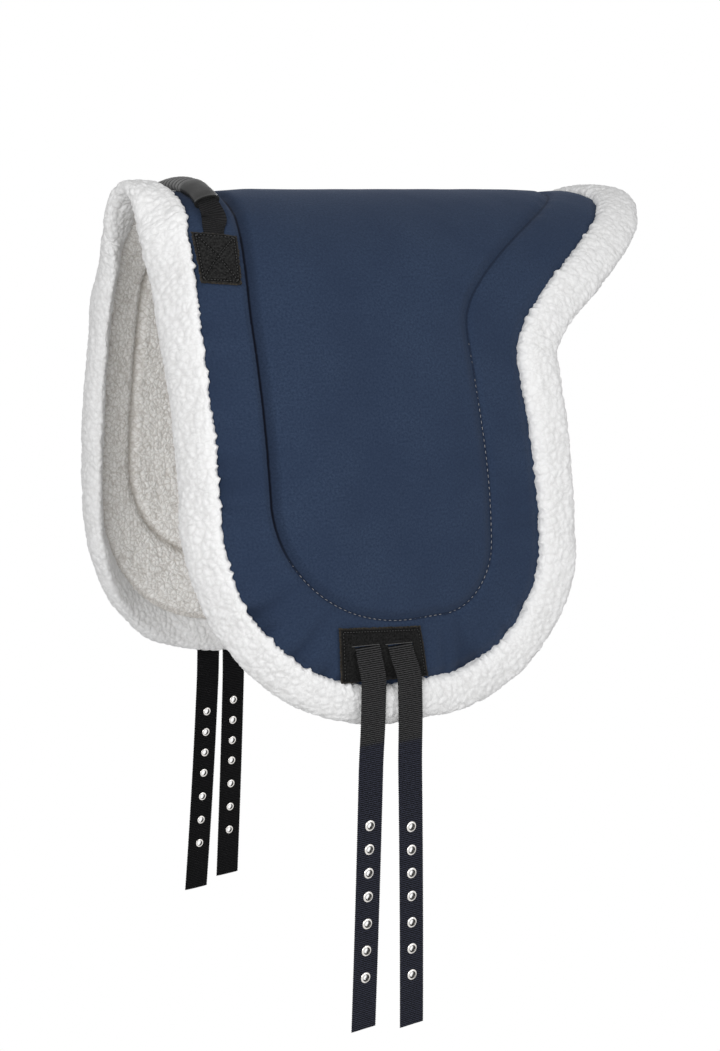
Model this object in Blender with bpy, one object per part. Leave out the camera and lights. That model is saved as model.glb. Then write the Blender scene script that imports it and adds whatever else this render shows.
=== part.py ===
"""Bareback pad: a quilted riding pad with fleece lining and border, handle and girth straps.

+X points to the horse's tail, -X to its head, +Y to the far flap, -Y to the near flap and
+Z up.  The origin is the underside of the pad on its spine, at the middle of its length.

The soft layers are drawn as a flat pattern, then draped over the back.  In the pattern x
runs along the spine, v is the arc length down from the spine (negative on the near side)
and depth is measured inwards from the outer reference surface.
"""

import math

import bmesh
import bpy
from mathutils import Matrix, Vector

# Clearances
GAP = 0.0003            # between pieces that touch
HINGE_GAP = 0.0004      # across the fold line between seat and flap

# Arch over the horse's back
CROWN_RADIUS = 0.152
CROWN_SPREAD = math.radians(72.5)    # slope where the round crown ends
FLAP_SLOPE = math.radians(95.0)      # slope at the bottom of the flap
EASE_LENGTH = 0.397                  # arc length between those two slopes
TOE_IN = math.radians(34.2)          # how far the front of each side curls inwards
TOE_LENGTH = 0.181                   # length of the part that curls
TOE_START = 0.051                    # arc length from the spine where the curl begins
TOE_FADE = 0.106                     # arc length over which it grows
FOLD_V = 0.195                       # arc length from spine to the fold line of a flap

# Outline of the pad inside its border
FRONT_X = -0.295        # front edge of the flaps
FRONT_CUTBACK = 0.023   # how far the front edge lies back at the spine
CUTBACK_V = 0.216       # where the cut-back ends
WAIST_X = 0.0735        # rear edge of the flaps at the waist
TAIL_X = 0.2735         # rear edge at the spine
TAIL_V = 0.034          # where the rear edge starts to run forward
WAIST_V = 0.262         # where it reaches the waist
HIP = 0.0095            # the flaps swell rearwards below the waist
HIP_LENGTH = 0.200
DROP = 0.5955           # spine to the lower edge
FRONT_CORNER = (0.192, 0.1886)       # half axes of the round lower corners
REAR_CORNER = (0.132, 0.125)

# Seat seam, the quilting line that runs round the seat and down both flaps
SEAM_FRONT_X = -0.2432
SEAM_CUTBACK = 0.0284
SEAM_CUTBACK_V = 0.2104
SEAM_WAIST_X = 0.0095
SEAM_TAIL_X = 0.2263
SEAM_TAIL_V = 0.0
SEAM_WAIST_V = 0.230
SEAM_DROP = 0.528
SEAM_FRONT_CORNER = (0.1616, 0.1351)
SEAM_REAR_CORNER = (0.061, 0.069)
CHANNEL = 0.009         # half width of the sewn channel

# Layers
PAD = 0.0205            # thickness of the pad between its outer and inner faces
COVER = 0.0016
LINING = 0.0060
SEAT_CROWN = 0.0020     # the seat stands proud of the reference surface
LINING_CROWN = 0.0005
BAND_SINK = 0.0010      # the band between seam and border lies lower
SHOULDER_SINK = 0.0020
CHANNEL_SINK = 0.0060
EDGE_SINK = 0.0045      # the layers are drawn in where the border is sewn on
INNER_CHANNEL = 0.0050
INNER_EDGE = 0.0040

# Fleece border, a flattened roll
ROLL_WIDTH = 0.042
ROLL_REAR_WIDTH = 0.049          # along the rear edge
ROLL_THICK = 0.027
ROLL_PROUD = 0.008      # above the reference surface
ROLL_LIFT = 0.004       # extra height on the crest at the front
ROLL_LIFT_V = 0.080
ROLL_CURL = 0.754       # how fast the roll turns inwards along the front, per unit of width
CURL_V = (0.010, 0.060)  # arc lengths from the spine between which that turn grows
ROLL_SQUARE = 2.8       # exponent of the section
ROLL_SIDES = 10

# Handle, a webbing bow with a rubber grip; it stands on the upper edges of its two patches
PATCH_X = -0.2645
PATCH_WIDTH = 0.0445
PATCH_TOP = 0.1165      # arc length from the spine
PATCH_DROP = 0.058
PATCH_THICK = 0.0020
HANDLE_X = -0.2615
HANDLE_LEAN = math.radians(16.0)
BOW_PEAK = 0.7          # 0.5 makes the bow half an ellipse, 1 a parabola
WEB_WIDTH = 0.020
WEB_THICK = 0.0024
TAIL_THICK = 0.0016
WEB_ROLLED = (0.0085, 0.0050)        # width and thickness inside the grip
GRIP_FROM = -0.020      # near end of the ribbed length, measured across the pad
GRIP_TO = 0.048
GRIP_RADIUS = 0.0080    # half the width of the grip's section
GRIP_FLAT = 0.78        # height of the section against its width
GRIP_CLEAR = 0.0023     # between the grip and the cover on the spine
GRIP_BORE = 0.0056
RIB_COUNT = 14
RIB_HEIGHT = 0.0009
SLEEVE_END = 0.0735     # where both sleeves end, measured across the pad
SLEEVE_RADIUS = 0.0084
SLEEVE_FLARE = 0.0098
SLEEVE_LIP = 0.0007

# Girth straps and their patch
GIRTH_X = {"near": -0.1170, "far": -0.0960}    # middle of the patch, halfway between its straps
GIRTH_PATCH_WIDTH = 0.104
GIRTH_PATCH_TOP = 0.529
GIRTH_PATCH_DROP = 0.0565
GIRTH_TILT = 0.10       # slope of the patch and its slots, downwards to the rear
SLOT_V = 0.5455
SLOT_HEIGHT = 0.006
SLOT_EASE = 0.0008      # the slots are this much wider than the strap at each end
STRAP_SPACING = 0.0400  # between the middles of the two straps of a flap
STRAP_WIDTH = 0.030
STRAP_THICK = 0.0020
STRAP_BULGE = 0.0042    # how far a strap stands out over the border
STRAP_CREST = 0.045     # length from the slot to where it stands out furthest
STRAP_SETTLE = 0.075    # length to where it starts to fall back
STRAP_PLUMB = 0.138     # length from which it hangs straight
STRAP_HANG = 0.0020     # how far out that straight part hangs
FIRST_EYELET = {"near_front": 0.195, "near_rear": 0.203, "far_front": 0.176, "far_rear": 0.163}
STRAP_LEAN = {"near_front": 0.020, "near_rear": -0.030, "far_front": 0.050, "far_rear": 0.035}
EYELETS = 7
EYELET_PITCH = 0.026    # between the upper eyelets
WIDE_PITCH = 0.030      # between the lower ones
UPPER_EYELETS = 4
TIP_MARGIN = 0.058      # last eyelet to the end of the strap
EYELET_OUTER = 0.0057   # radius of the flange
EYELET_BARREL = 0.0038
EYELET_BORE = 0.0030
EYELET_DOME = 0.0011
FLANGE_ROOM = 0.0030    # from the last flange to the plain end, where a buckle lies flat
EYELET_SIDES = 10

# Mesh steps
SIDE_STEPS = 6
CORNER_STEPS = 6
BOTTOM_STEPS = 2
SEAT_ROWS = 12


# Materials, one for each kind of surface
COLOURS = {
    "suede": ((0.032, 0.047, 0.090, 1.0), 0.92, 0.0),
    "foam": ((0.62, 0.60, 0.54, 1.0), 0.95, 0.0),
    "lining": ((0.62, 0.60, 0.56, 1.0), 1.0, 0.0),
    "fleece": ((0.80, 0.80, 0.79, 1.0), 1.0, 0.0),
    "patch": ((0.014, 0.014, 0.014, 1.0), 0.85, 0.0),
    "webbing": ((0.016, 0.017, 0.021, 1.0), 0.75, 0.0),
    "rubber": ((0.045, 0.045, 0.045, 1.0), 0.50, 0.0),
    "nickel": ((0.72, 0.70, 0.66, 1.0), 0.28, 1.0),
}


def smoothstep(t):
    t = min(max(t, 0.0), 1.0)
    return t * t * (3.0 - 2.0 * t)


# The arch, as arc length against height and half width

ARCH_STEP = 0.001


def arch_profile():
    """Half width and height of the reference surface at every millimetre of arc length."""
    crown_length = CROWN_RADIUS * CROWN_SPREAD
    rows = [(0.0, 0.0)]
    y = 0.0
    z = 0.0
    for i in range(int((DROP + 3.0 * ROLL_WIDTH) / ARCH_STEP)):
        v = (i + 0.5) * ARCH_STEP
        if v < crown_length:
            slope = v / CROWN_RADIUS
        else:
            ease = min((v - crown_length) / EASE_LENGTH, 1.15)
            slope = CROWN_SPREAD + (FLAP_SLOPE - CROWN_SPREAD) * ease
        y += math.cos(slope) * ARCH_STEP
        z -= math.sin(slope) * ARCH_STEP
        rows.append((y, z))
    return rows


ARCH = arch_profile()


def arch(v):
    t = min(max(v, 0.0) / ARCH_STEP, len(ARCH) - 1.001)
    i = int(t)
    f = t - i
    y = ARCH[i][0] * (1.0 - f) + ARCH[i + 1][0] * f
    z = ARCH[i][1] * (1.0 - f) + ARCH[i + 1][1] * f
    return y, z


def surface(x, v):
    """Point of the outer reference surface for a point of the flat pattern."""
    y, z = arch(abs(v))
    knee = FRONT_X - ROLL_WIDTH + TOE_LENGTH
    turn = TOE_IN * smoothstep((abs(v) - TOE_START) / TOE_FADE)
    run = knee - x
    if run > 0.0 and turn > 1e-6:
        radius = TOE_LENGTH / turn
        x = knee - radius * math.sin(run / radius)
        y -= radius * (1.0 - math.cos(run / radius))
    return Vector((x, math.copysign(y, v), z + PAD + LINING_CROWN))


def drape(x, v, depth):
    """Pattern point at a depth below the reference surface, in the pad's own frame."""
    h = 0.0004
    lo = v - h
    hi = v + h
    along = surface(x + h, v) - surface(x - h, v)
    if lo < 0.0 < hi:
        down = Vector((0.0, 1.0, 0.0))
    else:
        down = surface(x, hi) - surface(x, lo)
    normal = along.cross(down).normalized()
    return surface(x, v) - normal * depth


# Pattern lines

def front_line(front, cutback, cutback_v, v):
    return front + cutback * (1.0 - smoothstep(abs(v) / cutback_v))


def rear_line(waist, tail, tail_v, waist_v, v):
    hip = HIP * smoothstep((abs(v) - waist_v) / HIP_LENGTH)
    return waist + hip + (tail - waist) * smoothstep((waist_v - abs(v)) / (waist_v - tail_v))


def edge_front(v):
    return front_line(FRONT_X, FRONT_CUTBACK, CUTBACK_V, v)


def edge_rear(v):
    return rear_line(WAIST_X, TAIL_X, TAIL_V, WAIST_V, v)


def seam_front(v):
    return front_line(SEAM_FRONT_X, SEAM_CUTBACK, SEAM_CUTBACK_V, v)


def seam_rear(v):
    return rear_line(SEAM_WAIST_X, SEAM_TAIL_X, SEAM_TAIL_V, SEAM_WAIST_V, v)


def u_line(front, rear, drop, front_corner, rear_corner, top):
    """Line down the front of a flap, round its bottom and up its rear, as pattern points."""
    points = []
    turn_v = drop - front_corner[1]
    for i in range(SIDE_STEPS):
        v = top + (turn_v - top) * i / SIDE_STEPS
        points.append((front(v), v))
    x0 = front(turn_v) + front_corner[0]
    for i in range(CORNER_STEPS):
        a = 0.5 * math.pi * i / CORNER_STEPS
        points.append((x0 - front_corner[0] * math.cos(a), turn_v + front_corner[1] * math.sin(a)))
    turn_v = drop - rear_corner[1]
    x1 = rear(turn_v) - rear_corner[0]
    for i in range(BOTTOM_STEPS):
        points.append((x0 + (x1 - x0) * i / BOTTOM_STEPS, drop))
    for i in range(CORNER_STEPS):
        a = 0.5 * math.pi * (1.0 - i / CORNER_STEPS)
        points.append((x1 + rear_corner[0] * math.cos(a), turn_v + rear_corner[1] * math.sin(a)))
    for i in range(SIDE_STEPS + 1):
        v = turn_v + (top - turn_v) * i / SIDE_STEPS
        points.append((rear(v), v))
    return points


def normals(points):
    """Unit normals of a pattern line, to its right hand when walking along it."""
    out = []
    for i, _ in enumerate(points):
        a = Vector(points[max(i - 1, 0)])
        b = Vector(points[min(i + 1, len(points) - 1)])
        d = (b - a).normalized()
        out.append(Vector((-d.y, d.x)))
    return out


def keep_level(direction, v, top):
    """Turn an offset direction along the fold line near it, keeping the width the same."""
    blend = smoothstep((abs(v) - top) / 0.060) if abs(v) >= top else smoothstep((top - abs(v)) / 0.060)
    level = Vector((math.copysign(1.0 / max(abs(direction.x), 0.35), direction.x), 0.0))
    return direction * blend + level * (1.0 - blend)


# Depth of the outer and inner faces on the lines of the pattern, from border to seat

LINE_DEPTHS = (
    (EDGE_SINK, PAD - INNER_EDGE),
    (BAND_SINK, PAD),
    (SHOULDER_SINK, PAD - 0.0010),
    (CHANNEL_SINK, PAD - INNER_CHANNEL),
    (BAND_SINK, PAD - 0.0010),
)


def seat_depths(across):
    """Depths inside the seat seam; across runs from 0 at the front to 1 at the rear."""
    rise = 1.0 - (2.0 * across - 1.0) ** 4
    outer = BAND_SINK - (BAND_SINK + SEAT_CROWN) * rise
    inner = PAD - 0.0010 + (0.0010 + LINING_CROWN) * rise
    return outer, inner


ACROSS = 2 * (SIDE_STEPS + CORNER_STEPS) + BOTTOM_STEPS - 2 * (SIDE_STEPS + CORNER_STEPS // 2)
DOWN = SIDE_STEPS + CORNER_STEPS // 2


def band_lines(edge, seam, seam_offset):
    """The five lines between border and seat, on both sides of the seat seam."""
    rows = [edge, [Vector(e).lerp(Vector(s), 0.45) for e, s in zip(edge, seam)]]
    for shift in (CHANNEL, 0.0, -CHANNEL):
        rows.append([Vector(s) + n * shift for s, n in zip(seam, seam_offset)])
    return rows


def seat_pattern():
    """Pattern of the seat: rows from fold line to fold line, columns from front to rear."""
    top = FOLD_V - 0.5 * HINGE_GAP
    nodes = {}
    rows = SEAT_ROWS
    vs = [-top + 2.0 * top * j / rows for j in range(rows + 1)]
    front_edge = [(edge_front(v), v) for v in vs]
    front_seam = [(seam_front(v), v) for v in vs]
    rear_edge = [(edge_rear(v), v) for v in vs]
    rear_seam = [(seam_rear(v), v) for v in vs]
    last = ACROSS + 8
    for j, v in enumerate(vs):
        fe = front_edge[j][0]
        fs = front_seam[j][0]
        re = rear_edge[j][0]
        rs = rear_seam[j][0]
        slant = (seam_rear(v + 0.002) - seam_rear(v - 0.002)) / 0.004
        wide = CHANNEL * math.sqrt(1.0 + min(abs(slant), 1.3) ** 2)
        xs = [fe, fe + (fs - fe) * 0.45, fs - CHANNEL, fs, fs + CHANNEL]
        back = [rs - wide, rs, rs + wide, re + (rs - re) * 0.45, re]
        for i in range(5):
            nodes[(i, j)] = (xs[i], v) + LINE_DEPTHS[i]
            nodes[(last - i, j)] = (back[4 - i], v) + LINE_DEPTHS[i]
        for i in range(1, ACROSS):
            f = i / ACROSS
            nodes[(4 + i, j)] = (xs[4] + (back[0] - xs[4]) * f, v) + seat_depths(f)
    return nodes, last, rows


def seat_sheet():
    nodes, columns, rows = seat_pattern()
    bm = bmesh.new()
    bmesh.ops.create_grid(bm, x_segments=columns, y_segments=rows, size=0.5)
    for vert in bm.verts:
        i = round((vert.co.x + 0.5) * columns)
        j = round((vert.co.y + 0.5) * rows)
        vert.co = (i, j, 0.0)
    return bm, nodes


def flap_sheet(side):
    """Pattern of a flap: a grid inside the seam, and bands extruded outwards from it."""
    top = FOLD_V + 0.5 * HINGE_GAP
    edge = u_line(edge_front, edge_rear, DROP, FRONT_CORNER, REAR_CORNER, top)
    seam = u_line(seam_front, seam_rear, SEAM_DROP, SEAM_FRONT_CORNER, SEAM_REAR_CORNER, top)
    offset = [keep_level(n, p[1], top) for n, p in zip(normals(seam), seam)]
    lines = band_lines([Vector(p) for p in edge], seam, offset)
    inner = lines[4]
    count = len(inner) - 1
    nodes = {}
    for i in range(ACROSS + 1):
        s = i / ACROSS
        for j in range(DOWN + 1):
            t = j / DOWN
            left = inner[j]
            right = inner[count - j]
            low = inner[DOWN + i]
            high = inner[0].lerp(inner[count], s)
            corner = inner[0] * (1 - s) * (1 - t) + inner[count] * s * (1 - t)
            corner += inner[DOWN] * (1 - s) * t + inner[count - DOWN] * s * t
            p = left * (1 - s) + right * s + high * (1 - t) + low * t - corner
            outer_d, inner_d = seat_depths(s)
            settle = smoothstep((1.0 - t) * 3.0)
            flat = seat_depths(0.0)
            outer_d = flat[0] + (outer_d - flat[0]) * settle
            inner_d = flat[1] + (inner_d - flat[1]) * settle
            nodes[(i, j)] = (p.x, side * p.y, outer_d, inner_d)
    bm = bmesh.new()
    bmesh.ops.create_grid(bm, x_segments=ACROSS, y_segments=DOWN, size=0.5)
    rim = {}
    for vert in bm.verts:
        i = round((vert.co.x + 0.5) * ACROSS)
        j = round((0.5 - vert.co.y) * DOWN)
        vert.co = (i, j, 0.0)
        if i == 0:
            rim[vert] = j
        elif j == DOWN:
            rim[vert] = DOWN + i
        elif i == ACROSS:
            rim[vert] = count - j
    for band in (3, 2, 1, 0):
        edges = [e for e in bm.edges if all(v in rim for v in e.verts)
                 and abs(rim[e.verts[0]] - rim[e.verts[1]]) == 1]
        made = bmesh.ops.extrude_edge_only(bm, edges=edges)["geom"]
        fresh = {}
        for vert in [g for g in made if isinstance(g, bmesh.types.BMVert)]:
            for e in vert.link_edges:
                other = e.other_vert(vert)
                if other in rim:
                    fresh[vert] = rim[other]
        for vert, k in fresh.items():
            vert.co = (100.0 + k, 100.0 + band, 0.0)
            p = lines[band][k]
            nodes[(100 + k, 100 + band)] = (p.x, side * p.y) + LINE_DEPTHS[band]
        rim = fresh
    return bm, nodes


def layer(name, sheet, outer, inner, material):
    """Closed layer of the pad: the flat sheet is extruded, then both faces are draped."""
    bm, nodes = sheet
    bm = bm.copy()
    bm.normal_update()
    made = bmesh.ops.extrude_face_region(bm, geom=bm.faces[:])["geom"]
    lower = {g for g in made if isinstance(g, bmesh.types.BMVert)}
    for vert in bm.verts:
        x, v, top, bottom = nodes[(round(vert.co.x), round(vert.co.y))]
        vert.co = drape(x, v, inner(top, bottom) if vert in lower else outer(top, bottom))
    bmesh.ops.recalc_face_normals(bm, faces=bm.faces)
    return finish(name, bm, material)


def finish(name, bm, material, smooth=35.0):
    mesh = bpy.data.meshes.new(name)
    bm.to_mesh(mesh)
    bm.free()
    mesh.shade_smooth()
    mesh.set_sharp_from_angle(angle=math.radians(smooth))
    mesh.materials.append(MATERIALS[material])
    obj = bpy.data.objects.new(name, mesh)
    bpy.context.scene.collection.objects.link(obj)
    return obj


def make_materials():
    made = {}
    for name, (colour, rough, metal) in COLOURS.items():
        mat = bpy.data.materials.new(name)
        mat.use_nodes = True
        shader = mat.node_tree.nodes["Principled BSDF"]
        shader.inputs["Base Color"].default_value = colour
        shader.inputs["Roughness"].default_value = rough
        shader.inputs["Metallic"].default_value = metal
        made[name] = mat
    return made


def rolled_grid(points, close_rows):
    """Grid of points rolled into a tube; closed into a ring along its length if asked."""
    rows = len(points) - 1
    columns = len(points[0])
    bm = bmesh.new()
    bmesh.ops.create_grid(bm, x_segments=columns, y_segments=rows, size=0.5)
    for vert in bm.verts:
        i = round((vert.co.x + 0.5) * columns)
        j = round((vert.co.y + 0.5) * rows)
        vert.co = points[j][i % columns]
    bmesh.ops.remove_doubles(bm, verts=bm.verts, dist=0.000001)
    if not close_rows:
        open_edges = [e for e in bm.edges if len(e.link_faces) == 1]
        bmesh.ops.holes_fill(bm, edges=open_edges, sides=0)
    bmesh.ops.recalc_face_normals(bm, faces=bm.faces)
    return bm


def section(half_width, half_height, exponent, sides, turn=0.0):
    """Rounded section, as offsets along its width and its height."""
    out = []
    for k in range(sides):
        a = 2.0 * math.pi * k / sides + turn
        c = math.cos(a)
        s = math.sin(a)
        w = half_width * math.copysign(abs(c) ** (2.0 / exponent), c)
        h = half_height * math.copysign(abs(s) ** (2.0 / exponent), s)
        out.append((w, h))
    return out


def border_roll(name, line, outward, top):
    """Fleece roll sewn along a pattern line, on the side that outward points to."""
    rows = []
    shape = section(0.5 * (ROLL_WIDTH - GAP), 0.5 * ROLL_THICK, ROLL_SQUARE, ROLL_SIDES)
    for p, n in zip(line, outward):
        n = keep_level(n, p[1], top)
        crest = 1.0 - smoothstep(abs(p[1]) / ROLL_LIFT_V) if p[0] < 0.0 else 0.0
        centre = 0.5 * ROLL_THICK - ROLL_PROUD - ROLL_LIFT * crest
        curl = ROLL_CURL * max(-n.x, 0.0) * smoothstep((abs(p[1]) - CURL_V[0]) / (CURL_V[1] - CURL_V[0]))
        wider = 1.0 + (ROLL_REAR_WIDTH / ROLL_WIDTH - 1.0) * smoothstep((n.x + 0.30) / 0.80)
        ring = []
        for w, h in shape:
            reach = GAP + (0.5 * (ROLL_WIDTH - GAP) + w) * wider
            ring.append(drape(p[0] + n.x * reach, p[1] + n.y * reach, centre + h + curl * reach))
        rows.append(ring)
    return finish(name, rolled_grid(rows, False), "fleece", 50.0)


def seat_rolls():
    top = FOLD_V - 0.5 * HINGE_GAP
    vs = [-top + 2.0 * top * j / SEAT_ROWS for j in range(SEAT_ROWS + 1)]
    front = [(edge_front(v), v) for v in vs]
    rear = [(edge_rear(v), v) for v in vs]
    border_roll("front_arch_roll", front, normals(front), top)
    border_roll("rear_arch_roll", rear, [-n for n in normals(rear)], top)


def flap_roll(name, side):
    top = FOLD_V + 0.5 * HINGE_GAP
    line = u_line(edge_front, edge_rear, DROP, FRONT_CORNER, REAR_CORNER, top)
    out = normals(line)
    line = [(x, side * v) for x, v in line]
    out = [Vector((n.x, side * n.y)) for n in out]
    return border_roll(name, line, out, top)


def draped_plate(name, xs, vs, side, outer, inner, material, holes=(), tilt=0.0):
    """Thin plate sewn onto the pad, with rectangular openings left out of its grid."""
    middle = 0.5 * (xs[0] + xs[-1])
    bm = bmesh.new()
    bmesh.ops.create_grid(bm, x_segments=len(xs) - 1, y_segments=len(vs) - 1, size=0.5)
    for vert in bm.verts:
        vert.co.x = round((vert.co.x + 0.5) * (len(xs) - 1))
        vert.co.y = round((vert.co.y + 0.5) * (len(vs) - 1))
    gone = []
    for face in bm.faces:
        c = face.calc_center_median()
        if (int(c.x), int(c.y)) in holes:
            gone.append(face)
    if gone:
        bmesh.ops.delete(bm, geom=gone, context="FACES")
    made = bmesh.ops.extrude_face_region(bm, geom=bm.faces[:])["geom"]
    lower = {g for g in made if isinstance(g, bmesh.types.BMVert)}
    for vert in bm.verts:
        x = xs[round(vert.co.x)]
        v = side * (vs[round(vert.co.y)] + tilt * (x - middle))
        vert.co = drape(x, v, inner if vert in lower else outer)
    bmesh.ops.recalc_face_normals(bm, faces=bm.faces)
    return finish(name, bm, material)


def steps(a, b, count):
    return [a + (b - a) * i / count for i in range(count + 1)]


TAIL_INNER = BAND_SINK - GAP
TAIL_OUTER = TAIL_INNER - TAIL_THICK
PATCH_INNER = TAIL_OUTER - GAP
PATCH_OUTER = PATCH_INNER - PATCH_THICK


def handle_patch(prefix, side):
    xs = steps(PATCH_X - 0.5 * PATCH_WIDTH, PATCH_X + 0.5 * PATCH_WIDTH, 2)
    vs = steps(PATCH_TOP, PATCH_TOP + PATCH_DROP, 6)
    draped_plate(prefix + "_handle_patch", xs, vs, side, PATCH_OUTER, PATCH_INNER, "patch")
    xs = steps(HANDLE_X - 0.5 * WEB_WIDTH, HANDLE_X + 0.5 * WEB_WIDTH, 1)
    vs = steps(PATCH_TOP + 0.004, PATCH_TOP + PATCH_DROP - 0.012, 5)
    draped_plate(prefix + "_handle_tail", xs, vs, side, TAIL_OUTER, TAIL_INNER, "webbing")


def girth_patch(prefix, side):
    left = GIRTH_X[prefix] - 0.5 * GIRTH_PATCH_WIDTH
    right = GIRTH_X[prefix] + 0.5 * GIRTH_PATCH_WIDTH
    half = 0.5 * STRAP_WIDTH + SLOT_EASE
    front = GIRTH_X[prefix] - 0.5 * STRAP_SPACING
    rear = GIRTH_X[prefix] + 0.5 * STRAP_SPACING
    xs = [left, front - half, front + half, rear - half, rear + half, right]
    low = GIRTH_PATCH_TOP + GIRTH_PATCH_DROP
    vs = [GIRTH_PATCH_TOP, SLOT_V - 0.5 * SLOT_HEIGHT, SLOT_V + 0.5 * SLOT_HEIGHT,
          0.5 * (SLOT_V + low), low]
    holes = ((1, 1), (3, 1))
    name = prefix + "_girth_patch"
    return draped_plate(name, xs, vs, side, PATCH_OUTER, PATCH_INNER, "patch", holes, GIRTH_TILT)


def slot_v(prefix, x):
    """Arc length of the slots at a place along the tilted patch."""
    return SLOT_V + GIRTH_TILT * (x - GIRTH_X[prefix])


def strap_tail(name, centre, side, slot):
    """Sewn end of a girth strap: flat under the patch, its lip turned out through the slot."""
    half = 0.5 * STRAP_WIDTH - 0.0005
    vs = steps(slot - SLOT_V + GIRTH_PATCH_TOP + 0.003, slot - 0.5 * TAIL_THICK, 3)
    vs.append(slot + 0.5 * TAIL_THICK)
    bm = bmesh.new()
    bmesh.ops.create_grid(bm, x_segments=1, y_segments=len(vs) - 1, size=0.5)
    for vert in bm.verts:
        vert.co.x = round(vert.co.x + 0.5)
        vert.co.y = round((vert.co.y + 0.5) * (len(vs) - 1))
    made = bmesh.ops.extrude_face_region(bm, geom=bm.faces[:])["geom"]
    lower = {g for g in made if isinstance(g, bmesh.types.BMVert)}
    for vert in bm.verts:
        reach = half * (2.0 * round(vert.co.x) - 1.0)
        x = centre + reach
        v = side * (vs[round(vert.co.y)] + GIRTH_TILT * reach)
        vert.co = drape(x, v, TAIL_INNER if vert in lower else TAIL_OUTER)
    bmesh.ops.recalc_face_normals(bm, faces=bm.faces)
    target = drape(centre, side * slot, TAIL_OUTER)
    lip = min(bm.faces, key=lambda f: (f.calc_center_median() - target).length)
    made = bmesh.ops.extrude_face_region(bm, geom=[lip])["geom"]
    bmesh.ops.delete(bm, geom=[lip], context="FACES_ONLY")
    out = drape(centre, side * slot, PATCH_OUTER) - target
    bmesh.ops.translate(bm, verts=[g for g in made if isinstance(g, bmesh.types.BMVert)], vec=out)
    bmesh.ops.recalc_face_normals(bm, faces=bm.faces)
    return finish(name, bm, "webbing")


def strap_place(centre, side, slot):
    """Axis point of a strap: the middle of its rounded upper end, just outside the slot."""
    return drape(centre, side * slot, PATCH_OUTER - GAP - 0.5 * STRAP_THICK)


def eyelet_drops(key):
    """Distance of each eyelet below the upper end of its strap."""
    drops = []
    for i in range(EYELETS):
        wide = max(i - UPPER_EYELETS + 1, 0)
        drops.append(FIRST_EYELET[key] + (i - wide) * EYELET_PITCH + wide * WIDE_PITCH)
    return drops


def strap_path(key):
    """Outward offset, sideways drift and drop along a strap, from its upper end."""
    last = eyelet_drops(key)[-1]
    length = last + TIP_MARGIN
    marks = steps(0.0, STRAP_PLUMB, 9) + [last + EYELET_OUTER + FLANGE_ROOM, length]
    rows = []
    for s in marks:
        rise = smoothstep(s / STRAP_CREST)
        fall = smoothstep((s - STRAP_SETTLE) / (STRAP_PLUMB - STRAP_SETTLE))
        out = STRAP_BULGE * rise * (1.0 - fall) + STRAP_HANG * fall
        rows.append((out, -STRAP_LEAN[key] * s, s))
    return rows, length


def girth_strap(key, place, side, hub):
    """Webbing strap with its punched holes; its origin is on the axis it swings about."""
    rows, length = strap_path(key)
    bm = bmesh.new()
    bmesh.ops.create_grid(bm, x_segments=2, y_segments=len(rows) - 1, size=0.5)
    half = 0.5 * STRAP_THICK
    for vert in bm.verts:
        i = round((vert.co.x + 0.5) * 2)
        out, drift, s = rows[round((0.5 - vert.co.y) * (len(rows) - 1))]
        x = drift + (i - 1) * 0.5 * STRAP_WIDTH
        vert.co = (x, side * (out - half), -s)
    made = bmesh.ops.extrude_face_region(bm, geom=bm.faces[:])["geom"]
    lifted = [g for g in made if isinstance(g, bmesh.types.BMVert)]
    bmesh.ops.translate(bm, verts=lifted, vec=(0.0, side * STRAP_THICK, 0.0))
    bmesh.ops.recalc_face_normals(bm, faces=bm.faces)
    for vert in bm.verts:
        if vert.co.z > -0.0001:
            vert.co.z = half
    ends = [e for e in bm.edges if all(v.co.z > half - 0.0001 for v in e.verts)
            and abs(e.verts[0].co.y - e.verts[1].co.y) < 0.0001]
    bmesh.ops.bevel(bm, geom=ends, offset=half * 0.85, segments=2, profile=0.5, affect="EDGES",
                    material=-1)
    obj = finish("strap_" + key, bm, "webbing")
    obj.location = place
    carry(obj, hub)

    punch = bmesh.new()
    for s in eyelet_drops(key):
        spot = Matrix.Translation((-STRAP_LEAN[key] * s, side * STRAP_HANG, -s))
        turn = Matrix.Rotation(0.5 * math.pi, 4, "X")
        bmesh.ops.create_cone(punch, cap_ends=True, segments=EYELET_SIDES,
                              radius1=EYELET_BARREL + GAP, radius2=EYELET_BARREL + GAP,
                              depth=0.01, matrix=spot @ turn)
    cutter = finish("punch_" + key, punch, "webbing")
    cutter.parent = obj
    cutter.hide_render = True
    cutter.display_type = "WIRE"
    cut = obj.modifiers.new("holes", "BOOLEAN")
    cut.operation = "DIFFERENCE"
    cut.solver = "EXACT"
    cut.object = cutter
    return obj


def eyelet_mesh():
    """Turned eyelet about its own Z, from its face flange through the strap to its back."""
    face = 0.5 * STRAP_THICK + GAP
    profile = [
        (EYELET_BORE, -face - 0.6 * EYELET_DOME),
        (EYELET_BORE, face + EYELET_DOME),
        (EYELET_OUTER, face),
        (EYELET_BARREL, face),
        (EYELET_BARREL, -face),
        (EYELET_OUTER, -face),
    ]
    bm = bmesh.new()
    verts = [bm.verts.new((r, 0.0, z)) for r, z in profile]
    edges = [bm.edges.new((a, verts[(i + 1) % len(verts)])) for i, a in enumerate(verts)]
    bmesh.ops.spin(bm, geom=verts + edges, cent=(0, 0, 0), axis=(0, 0, 1),
                   angle=2.0 * math.pi, steps=EYELET_SIDES, use_merge=True)
    bmesh.ops.remove_doubles(bm, verts=bm.verts, dist=0.00001)
    bmesh.ops.recalc_face_normals(bm, faces=bm.faces)
    mesh = bpy.data.meshes.new("eyelet")
    bm.to_mesh(mesh)
    bm.free()
    mesh.shade_smooth()
    mesh.set_sharp_from_angle(angle=math.radians(40.0))
    mesh.materials.append(MATERIALS["nickel"])
    return mesh


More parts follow.
